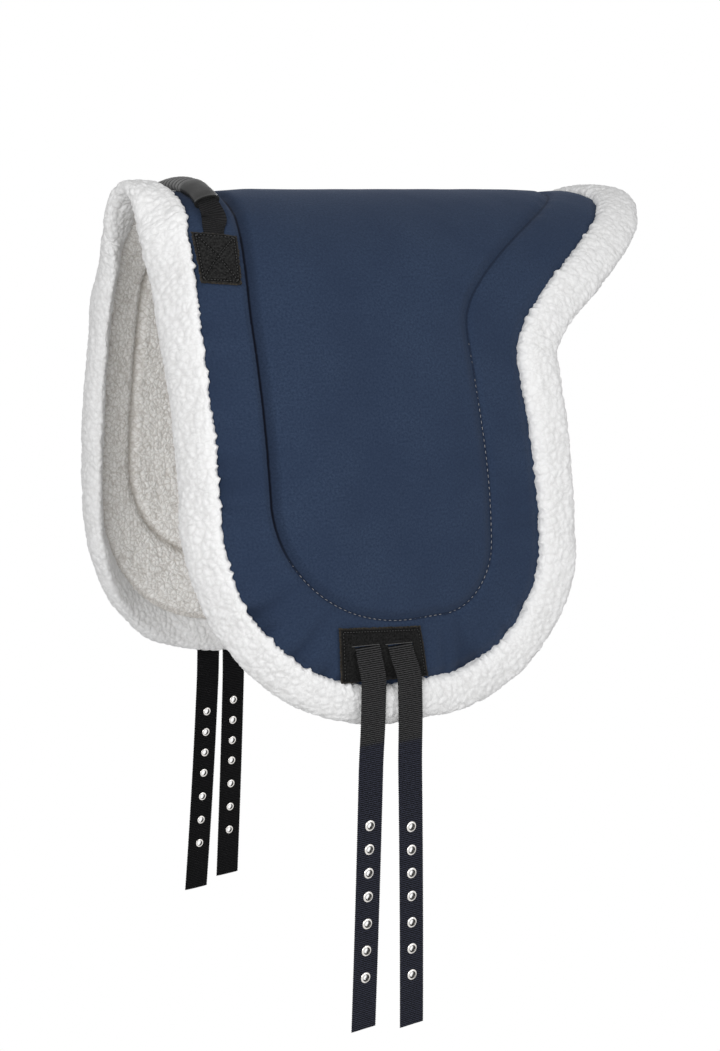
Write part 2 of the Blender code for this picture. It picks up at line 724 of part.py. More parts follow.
def strap_eyelets(key, strap, side, mesh):
    for i, s in enumerate(eyelet_drops(key)):
        obj = bpy.data.objects.new("eyelet_%s_%d" % (key, i + 1), mesh)
        obj.rotation_euler.x = -side * 0.5 * math.pi
        obj.location = (-STRAP_LEAN[key] * s, side * STRAP_HANG, -s)
        obj.parent = strap
        bpy.context.scene.collection.objects.link(obj)


# Handle, modelled about its swing axis

def handle_foot():
    """Half span and height of the swing axis: the webbing stands on the patch's upper edge."""
    middle = drape(HANDLE_X, PATCH_TOP, 0.5 * (PATCH_OUTER + PATCH_INNER))
    rim = drape(HANDLE_X, PATCH_TOP, PATCH_OUTER)
    return middle.y, rim.z + GAP + 0.5 * WEB_WIDTH


def handle_rise():
    """Top of the bow above its swing axis: the grip clears the cover on the spine."""
    cover = PAD + LINING_CROWN - BAND_SINK
    return (cover + GRIP_CLEAR + GRIP_FLAT * GRIP_RADIUS - HANDLE_AXIS) / math.cos(HANDLE_LEAN)


def bow(a):
    """Centre line of the handle at angle a from its top, with its unit normal."""
    half = HANDLE_HALF
    if abs(a) > 0.5 * math.pi:
        drop = (abs(a) - 0.5 * math.pi) * HANDLE_RISE
        y = math.copysign(half, a)
        return Vector((0.0, y, -drop)), Vector((0.0, math.copysign(1.0, a), 0.0))
    level = max(math.cos(a), 0.0)
    centre = Vector((0.0, half * math.sin(a), HANDLE_RISE * level ** (2.0 * BOW_PEAK)))
    run = half * level ** (2.0 - 2.0 * BOW_PEAK)
    fall = 2.0 * BOW_PEAK * HANDLE_RISE * math.sin(a)
    return centre, Vector((0.0, fall, run)).normalized()


def bow_angle(y):
    return math.asin(min(max(y / HANDLE_HALF, -1.0), 1.0))


def bow_tube(name, outer, bore, sides, material, smooth):
    """Hollow tube along the bow: outer lists (angle, radius), the bore follows inside."""
    rows = []
    around = [2.0 * math.pi * k / sides for k in range(sides)]
    first = outer[0][0]
    last = outer[-1][0]
    path = outer + [(last + (first - last) * i / 8.0, bore) for i in range(9)] + [outer[0]]
    for a, radius in path:
        centre, up = bow(a)
        height = radius * GRIP_FLAT
        rows.append([centre + Vector((radius * math.cos(t), 0, 0)) + up * height * math.sin(t)
                     for t in around])
    return finish(name, rolled_grid(rows, True), material, smooth)


def handle():
    hub = bpy.data.objects.new("handle_axis", None)
    bpy.context.scene.collection.objects.link(hub)
    hub.location = (HANDLE_X, 0.0, HANDLE_AXIS)
    hub.rotation_euler.y = HANDLE_LEAN

    ends = {"near": bow_angle(GRIP_FROM), "far": bow_angle(GRIP_TO)}
    span = ends["far"] - ends["near"]
    ribs = [(ends["near"], GRIP_RADIUS - RIB_HEIGHT)]
    for i in range(RIB_COUNT):
        ribs.append((ends["near"] + span * (i + 0.12) / RIB_COUNT, GRIP_RADIUS - RIB_HEIGHT))
        ribs.append((ends["near"] + span * (i + 0.50) / RIB_COUNT, GRIP_RADIUS))
    ribs.append((ends["far"], GRIP_RADIUS - RIB_HEIGHT))
    parts = [bow_tube("handle_grip", ribs, GRIP_BORE, 10, "rubber", 30.0)]

    outer_end = bow_angle(SLEEVE_END)
    for prefix, side in (("near", -1.0), ("far", 1.0)):
        inner = side * ends[prefix] + GAP / HANDLE_HALF
        shape = [(side * inner, SLEEVE_RADIUS - SLEEVE_LIP)]
        for i in range(7):
            f = i / 6.0
            radius = SLEEVE_RADIUS + (SLEEVE_FLARE - SLEEVE_RADIUS) * f
            shape.append((side * (inner + (outer_end - inner) * (0.94 * f + 0.02)), radius))
        shape.append((side * outer_end, SLEEVE_FLARE + SLEEVE_LIP))
        parts.append(bow_tube(prefix + "_handle_sleeve", shape, GRIP_BORE, 12, "rubber", 30.0))

    # The webbing narrows where it is rolled up inside the grip, and its ends are rounded
    foot = 0.5 * math.pi + 0.5 * WEB_WIDTH / HANDLE_RISE
    rows = []
    count = 28
    for i in range(count + 1):
        a = -foot + 2.0 * foot * i / count
        centre, up = bow(a)
        spread = smoothstep((abs(a) - outer_end - 0.02) / 0.30)
        below = max(-centre.z, 0.0)
        round_end = math.sqrt(max(1.0 - (below / (0.5 * WEB_WIDTH)) ** 2, 0.02))
        width = (WEB_ROLLED[0] + (WEB_WIDTH - WEB_ROLLED[0]) * spread) * round_end
        thick = WEB_ROLLED[1] + (WEB_THICK - WEB_ROLLED[1]) * spread
        shape = section(0.5 * width, 0.5 * thick, 4.0, 8, math.radians(22.5))
        rows.append([centre + Vector((w, 0, 0)) + up * h for w, h in shape])
    parts.append(finish("handle_webbing", rolled_grid(rows, False), "webbing", 40.0))
    for part in parts:
        part.parent = hub


def carry(part, hub):
    """Hang a part on an upright empty, keeping it where it is."""
    part.parent = hub
    part.location = part.location - hub.location


def fold_axis(prefix, side):
    """Empty on the line that a flap folds about, at the outer side of its border."""
    hub = bpy.data.objects.new(prefix + "_fold_axis", None)
    bpy.context.scene.collection.objects.link(hub)
    hub.location = drape(0.0, side * FOLD_V, -ROLL_PROUD)
    return hub


def layers(prefix, sheet):
    """Cover, foam and lining of one panel of the pad."""
    return [
        layer(prefix + "_cover", sheet, lambda t, b: t, lambda t, b: t + COVER, "suede"),
        layer(prefix + "_foam", sheet, lambda t, b: t + COVER + GAP,
              lambda t, b: b - LINING - GAP, "foam"),
        layer(prefix + "_lining", sheet, lambda t, b: b - LINING, lambda t, b: b, "lining"),
    ]


def flap(prefix, side, eyelet):
    hub = fold_axis(prefix, side)
    parts = layers(prefix + "_flap", flap_sheet(side))
    parts.append(flap_roll(prefix + "_flap_roll", side))
    parts.append(girth_patch(prefix, side))
    for end, shift in (("front", -0.5), ("rear", 0.5)):
        key = prefix + "_" + end
        centre = GIRTH_X[prefix] + shift * STRAP_SPACING
        slot = slot_v(prefix, centre)
        parts.append(strap_tail("tail_" + key, centre, side, slot))
        strap = girth_strap(key, strap_place(centre, side, slot), side, hub)
        strap_eyelets(key, strap, side, eyelet)
    for part in parts:
        carry(part, hub)


def main():
    layers("seat", seat_sheet())
    seat_rolls()
    handle()
    eyelet = eyelet_mesh()
    for prefix, side in (("near", -1.0), ("far", 1.0)):
        handle_patch(prefix, side)
        flap(prefix, side, eyelet)
    bpy.context.view_layer.update()


for old in list(bpy.data.objects):
    bpy.data.objects.remove(old)
MATERIALS = make_materials()
HANDLE_HALF, HANDLE_AXIS = handle_foot()
HANDLE_RISE = handle_rise()
main()
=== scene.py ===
"""Looks of the bareback pad: suede cover, fleece lining and border, webbing, rubber and nickel.

The soft pieces are drawn as a flat pattern and draped over the back, as they are in the part:
x runs along the spine, v is the arc length down from it (negative on the near side), and depth
is measured inwards from the outer reference surface.  Each half of the pad, near and far, is one
piece of each layer.
"""

import math

import bmesh
import bpy
import numpy as np
from mathutils import Matrix, Vector


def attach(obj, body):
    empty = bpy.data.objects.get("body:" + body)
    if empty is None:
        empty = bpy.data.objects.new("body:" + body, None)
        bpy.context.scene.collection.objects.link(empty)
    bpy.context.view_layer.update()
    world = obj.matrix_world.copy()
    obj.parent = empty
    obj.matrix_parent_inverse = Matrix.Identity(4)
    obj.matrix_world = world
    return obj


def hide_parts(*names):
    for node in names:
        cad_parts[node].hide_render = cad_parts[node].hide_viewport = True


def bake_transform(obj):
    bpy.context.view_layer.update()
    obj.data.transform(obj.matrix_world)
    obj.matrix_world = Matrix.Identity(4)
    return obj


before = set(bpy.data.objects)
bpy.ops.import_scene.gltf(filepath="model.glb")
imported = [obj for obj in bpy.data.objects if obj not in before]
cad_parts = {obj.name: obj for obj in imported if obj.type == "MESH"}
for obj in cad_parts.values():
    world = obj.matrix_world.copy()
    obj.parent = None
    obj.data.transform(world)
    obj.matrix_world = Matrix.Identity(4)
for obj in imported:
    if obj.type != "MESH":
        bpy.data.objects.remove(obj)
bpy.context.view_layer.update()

SIDES = (("near", -1.0), ("far", 1.0))

# Arch over the horse's back
CROWN_RADIUS = 0.152
CROWN_SPREAD = math.radians(72.5)
FLAP_SLOPE = math.radians(95.0)
EASE_LENGTH = 0.397
TOE_IN = math.radians(34.2)
TOE_LENGTH = 0.181
TOE_START = 0.051
TOE_FADE = 0.106
ARCH_STEP = 0.001

# Outline inside the border: front x, cut-back, its arc length, and so on down to the corners
EDGE = {"front": (-0.295, 0.023, 0.216), "rear": (0.0735, 0.2735, 0.034, 0.262),
        "drop": 0.5955, "front_corner": (0.192, 0.1886), "rear_corner": (0.132, 0.125)}
SEAM = {"front": (-0.2432, 0.0284, 0.2104), "rear": (0.0095, 0.2263, 0.0, 0.230),
        "drop": 0.528, "front_corner": (0.1616, 0.1351), "rear_corner": (0.061, 0.069)}
HIP = 0.0095
HIP_LENGTH = 0.200

# Layers
PAD = 0.0205
LINING = 0.0060
LINING_CROWN = 0.0005
SEAT_CROWN = 0.0020
BAND_SINK = 0.0010
CHANNEL_SINK = 0.0060
EDGE_SINK = 0.0045
INNER_CHANNEL = 0.0050
INNER_EDGE = 0.0040
TUCK = 0.004            # how far cover and lining run on under the border

# Fleece border
ROLL_WIDTH = 0.042
ROLL_REAR_WIDTH = 0.049
ROLL_THICK = 0.027
ROLL_CREST = 0.017      # thickness on the crest at the front
ROLL_PROUD = 0.008
ROLL_LIFT = 0.004
ROLL_LIFT_V = 0.080
ROLL_CURL = 0.754
CURL_V = (0.010, 0.080)
ROLL_CALM = (0.045, 0.010)      # lengths over which its direction and its surface are evened out
JOIN_X = {"near": -0.132, "far": -0.110}        # where the two ends of the fleece strip meet
TOOTH_PITCH = 0.0125            # locks of fleece that reach over the cover
TOOTH_REACH = 0.0036
ROLL_SQUARE = 2.8       # exponent of the section: 2 is an ellipse, more is squarer
FAR_SHIFT = 0.0050      # high on its front the far border lies this far to the rear
CREST_LOWER = 0.0014    # fleece pressed down on the crest, where the handle comes near

# Handle
HANDLE_PATCH = ((-0.2830, 0.1131), (-0.2383, 0.1200), (-0.2487, 0.1764), (-0.2878, 0.1733))
PATCH_OUTER = -0.0032
PATCH_THICK = 0.0020
HANDLE_X = -0.2615
HANDLE_AXIS = -0.00944
HANDLE_HALF = 0.09491
HANDLE_RISE = 0.0395
HANDLE_LEAN = math.radians(16.0)
BOW_PEAK = 0.7
WEB_WIDTH = 0.020
GRIP_FROM = -0.029
GRIP_TO = 0.048
GRIP_RADIUS = 0.0080
GRIP_WIDE = 1.42        # width and height of the sections against their radius
GRIP_FLAT = 0.76
GRIP_TURN = math.radians(37.0)  # the flat of the section faces up and forwards
RIB_COUNT = 11
RIB_HEIGHT = 0.0022
RIB_SHAPE = ((0.03, 0.0), (0.13, 0.0), (0.26, 0.72), (0.40, 1.0), (0.60, 1.0), (0.74, 0.72),
             (0.87, 0.0), (0.97, 0.0))     # share of a rib's pitch and of its height
TUBE_END = 0.0050       # radius at which the ends of grip and sleeves close
SLEEVE_END = 0.0735
SLEEVE_RADIUS = 0.0084
SLEEVE_FLARE = 0.0086
SLEEVE_SLANT = 0.010            # turn of the slanted end, in radians of the bow

# Girth straps
GIRTH_X = {"near": -0.1170, "far": -0.0960}
GIRTH_PATCH = ((-0.0600, 0.5240), (0.0400, 0.5350), (0.0527, 0.5920), (-0.0560, 0.5830))
GIRTH_TILT = 0.10
SLOT_SHIFT = -0.0068    # the slots lie this far forward of the hanging straps
SLOT_V = 0.5455
SLOT_HEIGHT = 0.0030
STRAP_SPACING = 0.0400
STRAP_WIDTH = 0.030
STRAP_THICK = 0.0020
STRAP_BULGE = 0.0042
STRAP_HANG = 0.0020
SLOT_DROP = 0.0045      # the straps come out this far below their hinges
FIRST_EYELET = {"near_front": 0.195, "near_rear": 0.203, "far_front": 0.176, "far_rear": 0.163}
STRAP_LEAN = {"near_front": 0.020, "near_rear": -0.030, "far_front": 0.050, "far_rear": 0.035}
STRAP_SWAY = {"near_front": (-0.0015, -0.0020), "near_rear": (0.0014, -0.0028),
              "far_front": (0.0038, -0.0052), "far_rear": (-0.0030, -0.0028)}
EYELETS = 7
EYELET_PITCH = 0.026
WIDE_PITCH = 0.030
UPPER_EYELETS = 4
TIP_MARGIN = 0.058
EYELET_OUTER = 0.0060
EYELET_BARREL = 0.0038
EYELET_BORE = 0.0030
GAP = 0.0003

# Fineness of the meshes, and curls and stitches
ROW_PITCH = 0.0024
BORDER_PITCH = 0.0014
PATCH_PITCH = 0.0009
STRAP_PITCH = 0.00105
BORDER_CURL = 0.0078
LINING_CURL = 0.0072
SEAM_STITCH_PITCH = 0.0064
SEAM_STITCH = (0.0040, 0.0006, 0.0010)      # length, width, height
WEFT_PITCH = 0.0022
WARP_PITCH = 0.0013


# Numbers that look random but are the same on every run

def scramble(cells, salt):
    """Number from 0 to 1 for each whole-number cell."""
    h = cells[..., 0] * 374761393 + cells[..., 1] * 668265263 + cells[..., 2] * 1103515245
    h = (h + salt * 1274126177) & 0xFFFFFFFF
    h = ((h ^ (h >> 15)) * 2246822519) & 0xFFFFFFFF
    h = ((h ^ (h >> 13)) * 3266489917) & 0xFFFFFFFF
    h = h ^ (h >> 16)
    return h / 4294967296.0


CORNERS = [(a, b, c) for a in (0, 1) for b in (0, 1) for c in (0, 1)]
NEIGHBOURS = [(a, b, c) for a in (-1, 0, 1) for b in (-1, 0, 1) for c in (-1, 0, 1)]


def drift(points, size, salt):
    """Smooth noise from -1 to 1 that changes over about one size."""
    p = points / size
    base = np.floor(p).astype(np.int64)
    f = p - base
    f = f * f * (3.0 - 2.0 * f)
    total = np.zeros(len(p))
    for corner in CORNERS:
        w = np.prod(np.where(corner, f, 1.0 - f), axis=1)
        total += w * scramble(base + corner, salt)
    return 2.0 * total - 1.0


def curls(points, size, salt):
    """Distances to the nearest and second nearest of scattered curl centres, in curl sizes."""
    p = points / size
    base = np.floor(p).astype(np.int64)
    first = np.full(len(p), 9.0)
    second = np.full(len(p), 9.0)
    for step in NEIGHBOURS:
        cell = base + step
        centre = cell + np.stack([scramble(cell, salt + k) for k in range(3)], axis=-1)
        d = np.linalg.norm(p - centre, axis=1)
        closer = d < first
        second = np.where(closer, first, np.minimum(second, d))
        first = np.where(closer, d, first)
    return first, second


def fleece_relief(points, size, salt, deep=1.0):
    """Height of soft curly fleece in metres, and how deep in a crease each point lies (0 to 1), for painted
    shade.
    """
    warp = np.stack([drift(points, size * 1.3, salt + 20 + k) for k in range(3)], axis=-1)
    first, second = curls(points + warp * size * 0.45, size, salt)
    crease = np.exp(-((second - first) / 0.19) ** 2)
    opened = ease(0.5 + 0.9 * drift(points, size * 2.6, salt + 50))
    fine_first, fine_second = curls(points + warp * size * 0.2, size * 0.50, salt + 7)
    fine = np.exp(-((fine_second - fine_first) / 0.25) ** 2)
    grooves = 0.09 * deep * crease * (0.70 + 0.30 * opened)
    height = size * (0.21 * (1.0 - first ** 2) - grooves - 0.035 * fine)
    height += size * 0.10 * drift(points, size * 4.0, salt + 40)
    return height, np.clip(crease * (0.65 + 0.30 * opened) + 0.15 * fine, 0.0, 1.0)


def ease(t):
    """Smooth step from 0 to 1."""
    t = np.clip(t, 0.0, 1.0)
    return t * t * (3.0 - 2.0 * t)


# Pattern and drape

def arch_profile():
    v = (np.arange(int((EDGE["drop"] + 3.0 * ROLL_WIDTH) / ARCH_STEP)) + 0.5) * ARCH_STEP
    crown = CROWN_RADIUS * CROWN_SPREAD
    share = np.minimum((v - crown) / EASE_LENGTH, 1.15)
    slope = np.where(v < crown, v / CROWN_RADIUS, CROWN_SPREAD + (FLAP_SLOPE - CROWN_SPREAD) * share)
    y = np.concatenate([[0.0], np.cumsum(np.cos(slope)) * ARCH_STEP])
    z = np.concatenate([[0.0], -np.cumsum(np.sin(slope)) * ARCH_STEP])
    return np.arange(len(y)) * ARCH_STEP, y, z


ARCH_V, ARCH_Y, ARCH_Z = arch_profile()


def surface(x, v):
    """Points of the outer reference surface for points of the flat pattern."""
    y = np.interp(np.abs(v), ARCH_V, ARCH_Y)
    z = np.interp(np.abs(v), ARCH_V, ARCH_Z)
    knee = EDGE["front"][0] - ROLL_WIDTH + TOE_LENGTH
    turn = np.maximum(TOE_IN * ease((np.abs(v) - TOE_START) / TOE_FADE), 1e-7)
    run = np.maximum(knee - x, 0.0)
    radius = TOE_LENGTH / turn
    x = np.where(run > 0.0, knee - radius * np.sin(run / radius), x)
    y = y - radius * (1.0 - np.cos(run / radius))
    return np.stack([x, np.where(v < 0.0, -y, y), z + PAD + LINING_CROWN], axis=-1)


def drape(x, v, depth):
    """Pattern points at a depth below the reference surface."""
    x, v, depth = np.broadcast_arrays(np.asarray(x, float), np.asarray(v, float), np.asarray(depth, float))
    h = 0.0004
    along = surface(x + h, v) - surface(x - h, v)
    down = surface(x, v + h) - surface(x, v - h)
    on_spine = (np.abs(v) < h)[..., None]
    down = np.where(on_spine, np.array([0.0, 1.0, 0.0]), down)
    normal = np.cross(along, down)
    normal /= np.linalg.norm(normal, axis=-1, keepdims=True)
    return surface(x, v) - normal * depth[..., None]


def front_line(shape, v):
    front, cutback, cutback_v = shape["front"]
    return front + cutback * (1.0 - ease(np.abs(v) / cutback_v))


def rear_line(shape, v):
    waist, tail, tail_v, waist_v = shape["rear"]
    hip = HIP * ease((np.abs(v) - waist_v) / HIP_LENGTH)
    return waist + hip + (tail - waist) * ease((waist_v - np.abs(v)) / (waist_v - tail_v))


def limits(shape, v, grow=0.0):
    """Front and rear x of a row of the pattern, with the round lower corners, grown outwards."""
    out = []
    for name, line, way in (("front", front_line, 1.0), ("rear", rear_line, -1.0)):
        half_x, half_v = shape[name + "_corner"]
        turn = shape["drop"] - half_v
        centre = line(shape, np.minimum(v, turn)) + way * half_x
        below = np.clip((v - turn) / (half_v + grow), 0.0, 1.0)
        out.append(centre - way * (half_x + grow) * np.sqrt(1.0 - below ** 2))
    return out


def outline(shape, count):
    """Line from the spine down the front, round the bottom and up the rear, evenly spaced."""
    lists = []
    half_x, half_v = shape["front_corner"]
    turn = shape["drop"] - half_v
    v = np.linspace(0.0, turn, 300)
    lists.append(np.stack([front_line(shape, v), v], axis=-1))
    a = np.linspace(0.0, 0.5 * math.pi, 200)[1:]
    x0 = front_line(shape, turn) + half_x
    lists.append(np.stack([x0 - half_x * np.cos(a), turn + half_v * np.sin(a)], axis=-1))
    half_x, half_v = shape["rear_corner"]
    turn = shape["drop"] - half_v
    x1 = rear_line(shape, turn) - half_x
    lists.append(np.stack([x1 + half_x * np.cos(a[::-1]), turn + half_v * np.sin(a[::-1])], axis=-1))
    v = np.linspace(turn, 0.0, 400)
    lists.append(np.stack([rear_line(shape, v), v], axis=-1))
    points = np.concatenate(lists)
    length = np.concatenate([[0.0], np.cumsum(np.linalg.norm(np.diff(points, axis=0), axis=1))])
    even = np.linspace(0.0, length[-1], count)
    return np.stack([np.interp(even, length, points[:, k]) for k in range(2)], axis=-1), even


def outward(points):
    """Unit directions out of the pattern along an outline; straight along x at the spine."""
    d = np.gradient(points, axis=0)
    n = np.stack([-d[:, 1], d[:, 0]], axis=-1)
    n[0] = (-1.0, 0.0)
    n[-1] = (1.0, 0.0)
    return n / np.linalg.norm(n, axis=1, keepdims=True)


def line_distance(points, line, lengths):
    """Signed distance to an outline, positive inside it, and the place along it."""
    out = np.empty(len(points))
    place = np.empty(len(points))
    normal = outward(line)
    for start in range(0, len(points), 4000):
        block = points[start:start + 4000]
        d = block[:, None, :] - line[None, :, :]
        square = (d ** 2).sum(axis=2)
        k = square.argmin(axis=1)
        rows = np.arange(len(block))
        side = (d[rows, k] * normal[k]).sum(axis=1)
        out[start:start + 4000] = -np.sign(side) * np.sqrt(square[rows, k])
        place[start:start + 4000] = lengths[k]
    return out, place


# Meshes

def grid(columns, rows):
    """Flat grid as a bmesh; each vertex holds its column and row in x and y."""
    bm = bmesh.new()
    bmesh.ops.create_grid(bm, x_segments=columns, y_segments=rows, size=0.5)
    for vert in bm.verts:
        vert.co.x = round((vert.co.x + 0.5) * columns)
        vert.co.y = round((vert.co.y + 0.5) * rows)
    return bm


def smooth_to(mesh, angle):
    """Smooth shading, with creases sharper than an angle in degrees kept."""
    mesh.shade_smooth()
    mesh.set_sharp_from_angle(angle=math.radians(angle))


def new_object(name, bm, smooth=40.0):
    mesh = bpy.data.meshes.new(name)
    bm.to_mesh(mesh)
    bm.free()
    smooth_to(mesh, smooth)
    obj = bpy.data.objects.new(name, mesh)
    bpy.context.scene.collection.objects.link(obj)
    return obj


def read_points(mesh):
    co = np.empty(len(mesh.vertices) * 3)
    mesh.vertices.foreach_get("co", co)
    return co.reshape(-1, 3)


def write_points(mesh, points):
    mesh.vertices.foreach_set("co", np.ascontiguousarray(points, dtype=float).ravel())
    mesh.update()


def set_uv(mesh, uv):
    """UV map in metres from one pair of numbers per vertex."""
    layer = mesh.uv_layers.new(name="cloth")
    index = np.empty(len(mesh.loops), dtype=np.int32)
    mesh.loops.foreach_get("vertex_index", index)
    layer.data.foreach_set("uv", np.ascontiguousarray(uv[index], dtype=float).ravel())


def set_value(mesh, name, values):
    made = mesh.attributes.new(name, "FLOAT", "POINT")
    made.data.foreach_set("value", np.ascontiguousarray(values, dtype=np.float32))


def two_layers(bm):
    """Close a flat grid with a second layer of vertices, marked by z = 1."""
    for part in bmesh.ops.extrude_face_region(bm, geom=bm.faces[:])["geom"]:
        if isinstance(part, bmesh.types.BMVert):
            part.co.z = 1.0
    return bm


def face_outwards(mesh, smooth, open_ends=False):
    """Turn the faces of a piece outwards and shade it; a tube is merged and capped first."""
    bm = bmesh.new()
    bm.from_mesh(mesh)
    if open_ends:
        bmesh.ops.remove_doubles(bm, verts=bm.verts, dist=1e-6)
        bmesh.ops.holes_fill(bm, edges=[e for e in bm.edges if len(e.link_faces) == 1], sides=0)
    bmesh.ops.recalc_face_normals(bm, faces=bm.faces)
    bm.to_mesh(mesh)
    bm.free()
    smooth_to(mesh, smooth)


def grid_normals(points, wrap):
    """Unit normals of a grid of points [row, column]; wrap closes the columns into a ring."""
    if wrap:
        across = np.roll(points, -1, axis=1) - np.roll(points, 1, axis=1)
    else:
        across = np.gradient(points, axis=1)
    along = np.gradient(points, axis=0)
    n = np.cross(across, along)
    return n / np.maximum(np.linalg.norm(n, axis=2, keepdims=True), 1e-12)


def tube(name, points, uv, values=None, smooth=60.0):
    """Closed tube from rows of points [row, column]; uv has one column more than points."""
    rows, columns = points.shape[:2]
    obj = new_object(name, grid(columns, rows - 1), smooth)
    mesh = obj.data
    cell = read_points(mesh)
    i = cell[:, 0].astype(int)
    j = cell[:, 1].astype(int)
    set_uv(mesh, uv[j, i])
    if values is not None:
        set_value(mesh, "crease", values[j, i % columns])
    write_points(mesh, points[j, i % columns])
    face_outwards(mesh, smooth, open_ends=True)
    return obj


# Materials

def grey(level):
    return (level, level, level)


def shader(name, colour, rough, gloss=0.5, sheen=0.0, sheen_rough=0.5, metal=0.0):
    """Material with its node tree and shader; gloss is the specular level, sheen the nap's."""
    mat = bpy.data.materials.new(name)
    mat.use_nodes = True
    bsdf = mat.node_tree.nodes["Principled BSDF"]
    bsdf.inputs["Base Color"].default_value = (*colour, 1.0)
    numbers = {"Roughness": rough, "Specular IOR Level": gloss, "Sheen Weight": sheen,
               "Sheen Roughness": sheen_rough, "Metallic": metal}
    for key, number in numbers.items():
        bsdf.inputs[key].default_value = number
    return mat, mat.node_tree, bsdf


def add(tree, kind, **settings):
    """New node; each setting is a socket's value or a property of the node."""
    node = tree.nodes.new("ShaderNode" + kind)
    for key, value in settings.items():
        if key in node.inputs:
            node.inputs[key].default_value = value
        else:
            setattr(node, key, value)
    return node


def noise_of(tree, where, scale, detail=2.0, rough=0.5):
    node = add(tree, "TexNoise", Scale=scale, Detail=detail, Roughness=rough)
    tree.links.new(where, node.inputs["Vector"])
    return node.outputs["Fac"]


def spread(tree, value, low, high, out_low=0.0, out_high=1.0):
    """Map a value from low..high to out_low..out_high."""
    node = add(tree, "MapRange")
    for key, number in zip(("From Min", "From Max", "To Min", "To Max"), (low, high, out_low, out_high)):
        node.inputs[key].default_value = number
    tree.links.new(value, node.inputs["Value"])
    return node.outputs["Result"]


def blend_colours(tree, factor, a, b):
    """Mix two colours; each is a colour or an output."""
    node = tree.nodes.new("ShaderNodeMix")
    node.data_type = "RGBA"
    tree.links.new(factor, node.inputs[0])
    for socket, colour in ((node.inputs[6], a), (node.inputs[7], b)):
        if isinstance(colour, tuple):
            socket.default_value = (*colour, 1.0)
        else:
            tree.links.new(colour, socket)
    return node.outputs[2]


def calc(tree, kind, a, b=None):
    """Sum, product or the like of numbers or outputs."""
    node = tree.nodes.new("ShaderNodeMath")
    node.operation = kind
    for socket, value in ((node.inputs[0], a), (node.inputs[1], b)):
        if value is None:
            continue
        if isinstance(value, (int, float)):
            socket.default_value = value
        else:
            tree.links.new(value, socket)
    return node.outputs[0]


def bump(tree, bsdf, height, distance, strength=1.0):
    node = add(tree, "Bump", Strength=strength, Distance=distance)
    tree.links.new(height, node.inputs["Height"])
    tree.links.new(node.outputs["Normal"], bsdf.inputs["Normal"])


def cloth_uv(tree):
    return add(tree, "TexCoord").outputs["UV"]


def drawn(tree, name):
    """Value that the mesh carries under this name."""
    return add(tree, "Attribute", attribute_name=name).outputs["Fac"]


def suede():
    """Navy suede-look cloth: brushed nap, with painted shade in the puckers and in the sewn channel."""
    mat, tree, bsdf = shader("navy_suede", (0.019, 0.031, 0.062), 0.95, 0.06, 0.10)
    where = cloth_uv(tree)
    bsdf.inputs["Sheen Tint"].default_value = (0.55, 0.62, 0.80, 1.0)
    brushed = noise_of(tree, where, 9.0, 4.0, 0.6)
    nap = noise_of(tree, where, 420.0, 4.0, 0.75)
    seam = drawn(tree, "seam")
    fold = drawn(tree, "fold")
    dark, pale = (0.0165, 0.0272, 0.0520), (0.0355, 0.0550, 0.1000)
    base = blend_colours(tree, spread(tree, nap, 0.32, 0.68), dark, pale)
    base = blend_colours(tree, spread(tree, brushed, 0.35, 0.65, 0.0, 0.55), base, (0.0185, 0.0300, 0.0600))
    # Painted shade in the valleys of the puckers.
    crease = drawn(tree, "crease")
    base = blend_colours(tree, spread(tree, crease, 0.0, 1.0, 0.0, 0.75), base, (0.0110, 0.0180, 0.0360))
    # Painted shade on the seat side of the seam, where the seat rolls down into the channel, more where it
    # folds over.
    beside = spread(tree, seam, 0.0, 0.012, 0.60, 0.0)
    seat_roll_shade = calc(tree, "MULTIPLY", beside, spread(tree, seam, 0.0, 0.0005))
    base = blend_colours(tree, calc(tree, "MULTIPLY", seat_roll_shade, fold), base, (0.0070, 0.0110, 0.0220))
    # Painted shade, near black, in the groove of the seam.
    seam_groove_shade = spread(tree, calc(tree, "ABSOLUTE", seam), 0.0007, 0.0020, 1.0, 0.0)
    base = blend_colours(tree, calc(tree, "MULTIPLY", seam_groove_shade, fold), base, (0.0030, 0.0040, 0.0085))
    tree.links.new(base, bsdf.inputs["Base Color"])
    wrinkle = noise_of(tree, where, 90.0, 3.0, 0.55)
    height = calc(tree, "ADD", calc(tree, "MULTIPLY", nap, 0.45), calc(tree, "MULTIPLY", wrinkle, 0.55))
    bump(tree, bsdf, height, 0.0006, 0.8)
    return mat


